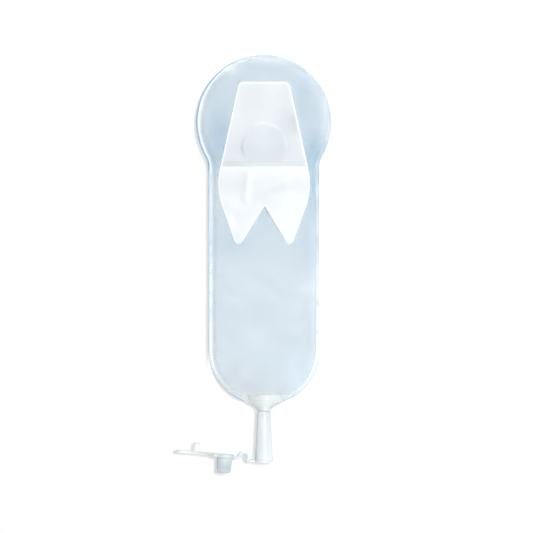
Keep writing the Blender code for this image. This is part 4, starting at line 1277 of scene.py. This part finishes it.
def slab(name, x, y, low, high, radius, material):
    """A convex outline made thick, with its rims rounded: each ring is the outline drawn in by the round."""
    turn = np.linspace(0.0, math.pi / 2, 6)
    insets = radius * (1 - np.sin(turn))
    rises = radius * (1 - np.cos(turn))
    heights = np.concatenate([low + rises, (high - rises)[::-1]])
    insets = np.concatenate([insets, insets[::-1]])
    in_x, in_y = side_of(x, y)
    inwards = np.sign(np.sum(in_x * (x.mean() - x) + in_y * (y.mean() - y)))
    ring_x = x + inwards * insets[:, None] * in_x
    ring_y = y + inwards * insets[:, None] * in_y
    points = point_grid(ring_x, ring_y, heights[:, None])
    return grid_piece(name, lay_cap(points), material, wrap_columns=True, ends=True)


def finger_plan(reach, half_width):
    """A plate with a free end that is all but half round. It runs in under the disc."""
    end_round = 0.999 * half_width
    corners = [
        (-reach, half_width, end_round),
        (-reach, -half_width, end_round),
        (0.0, -half_width, 0.0),
        (0.0, half_width, 0.0),
    ]
    return rounded(corners, 16)


def turned_cap_part(name, corners, middle_x, material):
    """A closed profile of (radius, height, round) corners carried round an axis across the cap."""
    radius, height = rounded(corners, 6, closed=False)
    radius, height = even_run(radius, height, CAP_SPACING)
    angle = full_turn(CAP_STEPS)
    x = middle_x + radius[:, None] * np.cos(angle)
    points = point_grid(x, radius[:, None] * np.sin(angle), height[:, None])
    return grid_piece(name, lay_cap(points), material, wrap_columns=True)


def plug_radius(depth):
    """The plug's radius at a distance from its foot: the bore's as far from the mouth, less a clearance."""
    return spout_radius(depth) - SPOUT_WALL - GAP


def make_cap():
    """Disc and hollow plug, carried round the plug's axis, joined with the arm, the thumb pad and the peg."""
    core_floor = PLUG_CORE_DEPTH - PLUG_LENGTH
    corners = [
        (0.0, DISC_THICKNESS, 0.0),
        (DISC_RADIUS, DISC_THICKNESS, DISC_ROUND),
        (DISC_RADIUS, 0.0, DISC_ROUND),
        (plug_radius(0.0), 0.0, PLUG_FOOT_ROUND),
        (plug_radius(PLUG_LENGTH), -PLUG_LENGTH, PLUG_TIP_ROUND),
        (plug_radius(PLUG_LENGTH) - PLUG_WALL, -PLUG_LENGTH, PLUG_LIP_ROUND),
        (plug_radius(-core_floor) - PLUG_WALL, core_floor, PLUG_CORE_ROUND),
        (0.0, core_floor, 0.0),
    ]
    piece = turned_cap_part("cap_plug", corners, 0.0, CAP)
    peg_low = DISC_THICKNESS - ARM_THICKNESS / 2
    peg = turned_cap_part(
        "cap_peg",
        [
            (0.0, peg_low, 0.0),
            (PEG_RADIUS, peg_low, 0.0),
            (PEG_TIP_RADIUS, DISC_THICKNESS + PEG_HEIGHT, PEG_ROUND),
            (0.0, DISC_THICKNESS + PEG_HEIGHT, 0.0),
        ],
        -PEG_DISTANCE,
        CAP,
    )
    arm_plan = finger_plan(ARM_LENGTH, ARM_HALF_WIDTH)
    arm = slab("cap_arm", *arm_plan, DISC_THICKNESS - ARM_THICKNESS, DISC_THICKNESS, ARM_ROUND, CAP)
    pad_plan = finger_plan(PAD_REACH, PAD_HALF_WIDTH)
    pad = slab("cap_pad", *pad_plan, PAD_STEP, DISC_THICKNESS - PAD_STEP, ARM_ROUND, CAP)
    join(piece, [arm, pad, peg])
    x, y = points_of(piece)[:2]
    beside = x + CAP_REACH
    above = y - MOUTH_Y - CAP_RISE
    across = beside * math.cos(CAP_TILT) - above * math.sin(CAP_TILT)
    up = beside * math.sin(CAP_TILT) + above * math.cos(CAP_TILT)
    body = 0.30 * smooth((DISC_RADIUS - np.abs(across)) / MM) * (up < DISC_THICKNESS - 0.4 * MM)
    middle = np.exp(-(((across - 1.2 * MM) / (4.6 * MM)) ** 2) - ((up + 6.5 * MM) / (3.8 * MM)) ** 2)
    # Painted shade: deeper on the plug's left side, away from the light
    left = smooth((-across - 4.2 * MM) / MM) * (up < 0) * (up > -PLUG_LENGTH + PLUG_TIP_ROUND)
    top = hill(up - DISC_THICKNESS, 0.6 * MM)
    peg_tip = smooth((up - DISC_THICKNESS - PEG_HEIGHT + 1.5 * MM) / MM)
    peg_tone = 0.08 * (up > DISC_THICKNESS + 0.4 * MM) + 0.3 * peg_tip
    keep_mark(piece.data, "deep", np.clip(body + 0.42 * middle + 0.5 * left + 0.26 * top + peg_tone, 0, 1))
    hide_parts("plug_cap")
    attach(piece, "cap")


def dress_barrier():
    """The barrier keeps its frame shape and takes the paste's finish."""
    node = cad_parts["skin_barrier"]
    node.data.materials.clear()
    node.data.materials.append(BARRIER)


# Floor, light and camera


def make_floor():
    """A wide pale sheet just under the pouch."""
    side = FLOOR_HALF_SIDE
    z = FLOOR_Z
    corners = np.array([[[-side, -side, z], [side, -side, z]], [[-side, side, z], [side, side, z]]])
    material, tree, shader = new_material("pale_floor")
    shader.inputs["Base Color"].default_value = (*FLOOR_WHITE, 1.0)
    shader.inputs["Roughness"].default_value = 0.9
    shader.inputs["Specular IOR Level"].default_value = 0.1
    floor = grid_piece("floor", corners, material)
    face_up(floor)


def add_lamp(name, kind, place, size, power, shaded_by, onto=()):
    """A lamp that only the pieces in shaded_by shade, and that lights only those in onto.

    A sun's size is the angle it is seen under, and an area's is its side. An empty onto means every piece.
    """
    light = bpy.data.lights.new(name, kind)
    if kind == "SUN":
        light.angle = size
    else:
        light.size = size
    light.energy = power
    lamp = bpy.data.objects.new(name, light)
    bpy.context.scene.collection.objects.link(lamp)
    lamp.location = place
    lamp.rotation_euler = (Vector(LAMP_AIM) - Vector(place)).to_track_quat("-Z", "Y").to_euler()
    blockers = bpy.data.collections.new(name + "_blockers")
    for piece in shaded_by:
        blockers.objects.link(bpy.data.objects[piece])
    lamp.light_linking.blocker_collection = blockers
    if onto:
        receivers = bpy.data.collections.new(name + "_receivers")
        for piece in onto:
            receivers.objects.link(bpy.data.objects[piece])
        lamp.light_linking.receiver_collection = receivers


def make_light():
    """Even light from all round, a soft key, and a low sun shaded only by the left lip where it lies flat.

    The mouldings are left out of the low sun, which would burn out their sides. An overhead fill lights them
    and nothing else.
    """
    world = bpy.data.worlds.new("studio")
    bpy.context.scene.world = world
    world.use_nodes = True
    background = world.node_tree.nodes["Background"]
    background.inputs["Color"].default_value = (*WHITE, 1.0)
    background.inputs["Strength"].default_value = ROOM_STRENGTH
    films = ["film_back_sheet", "film_front_sheet"]
    beads = ["weld_bead_left", "weld_bead_low_left", "weld_bead_right"]
    flat = ["floor", "skin_barrier", "liner_upper_half", "liner_lower_half"] + films + beads
    mouldings = ["outlet_boat", "spout_tube", "tether_near_half", "tether_far_half", "cap_plug"]
    add_lamp("key_light", "AREA", KEY_PLACE, KEY_SIDE, KEY_POWER, mouldings + films + beads[1:2])
    add_lamp("edge_light", "SUN", SUN_PLACE, SUN_ANGLE, SUN_POWER, beads[:1], flat)
    add_lamp("fill_light", "AREA", FILL_PLACE, FILL_SIDE, FILL_POWER, mouldings, mouldings)


def make_camera():
    """Looks straight down through a long lens, with the photograph's frame at the height of the liner."""
    camera = bpy.data.cameras.new("camera")
    camera.lens = CAMERA_LENS
    camera.sensor_width = SENSOR_WIDTH
    side = PHOTO_SIDE * PIXEL
    centre = at_pixel(PHOTO_SIDE / 2, PHOTO_SIDE / 2)
    holder = bpy.data.objects.new("camera", camera)
    bpy.context.scene.collection.objects.link(holder)
    holder.location = (*centre, LINER_Z + side * CAMERA_LENS / SENSOR_WIDTH)
    bpy.context.scene.camera = holder


make_camera()
make_floor()
make_film("film_back_sheet", False)
make_film("film_front_sheet", True)
make_beads()
dress_barrier()
make_liners()
make_fitment()
make_spout()
make_tether()
make_cap()
make_light()
bpy.context.scene.view_settings.view_transform = "Standard"
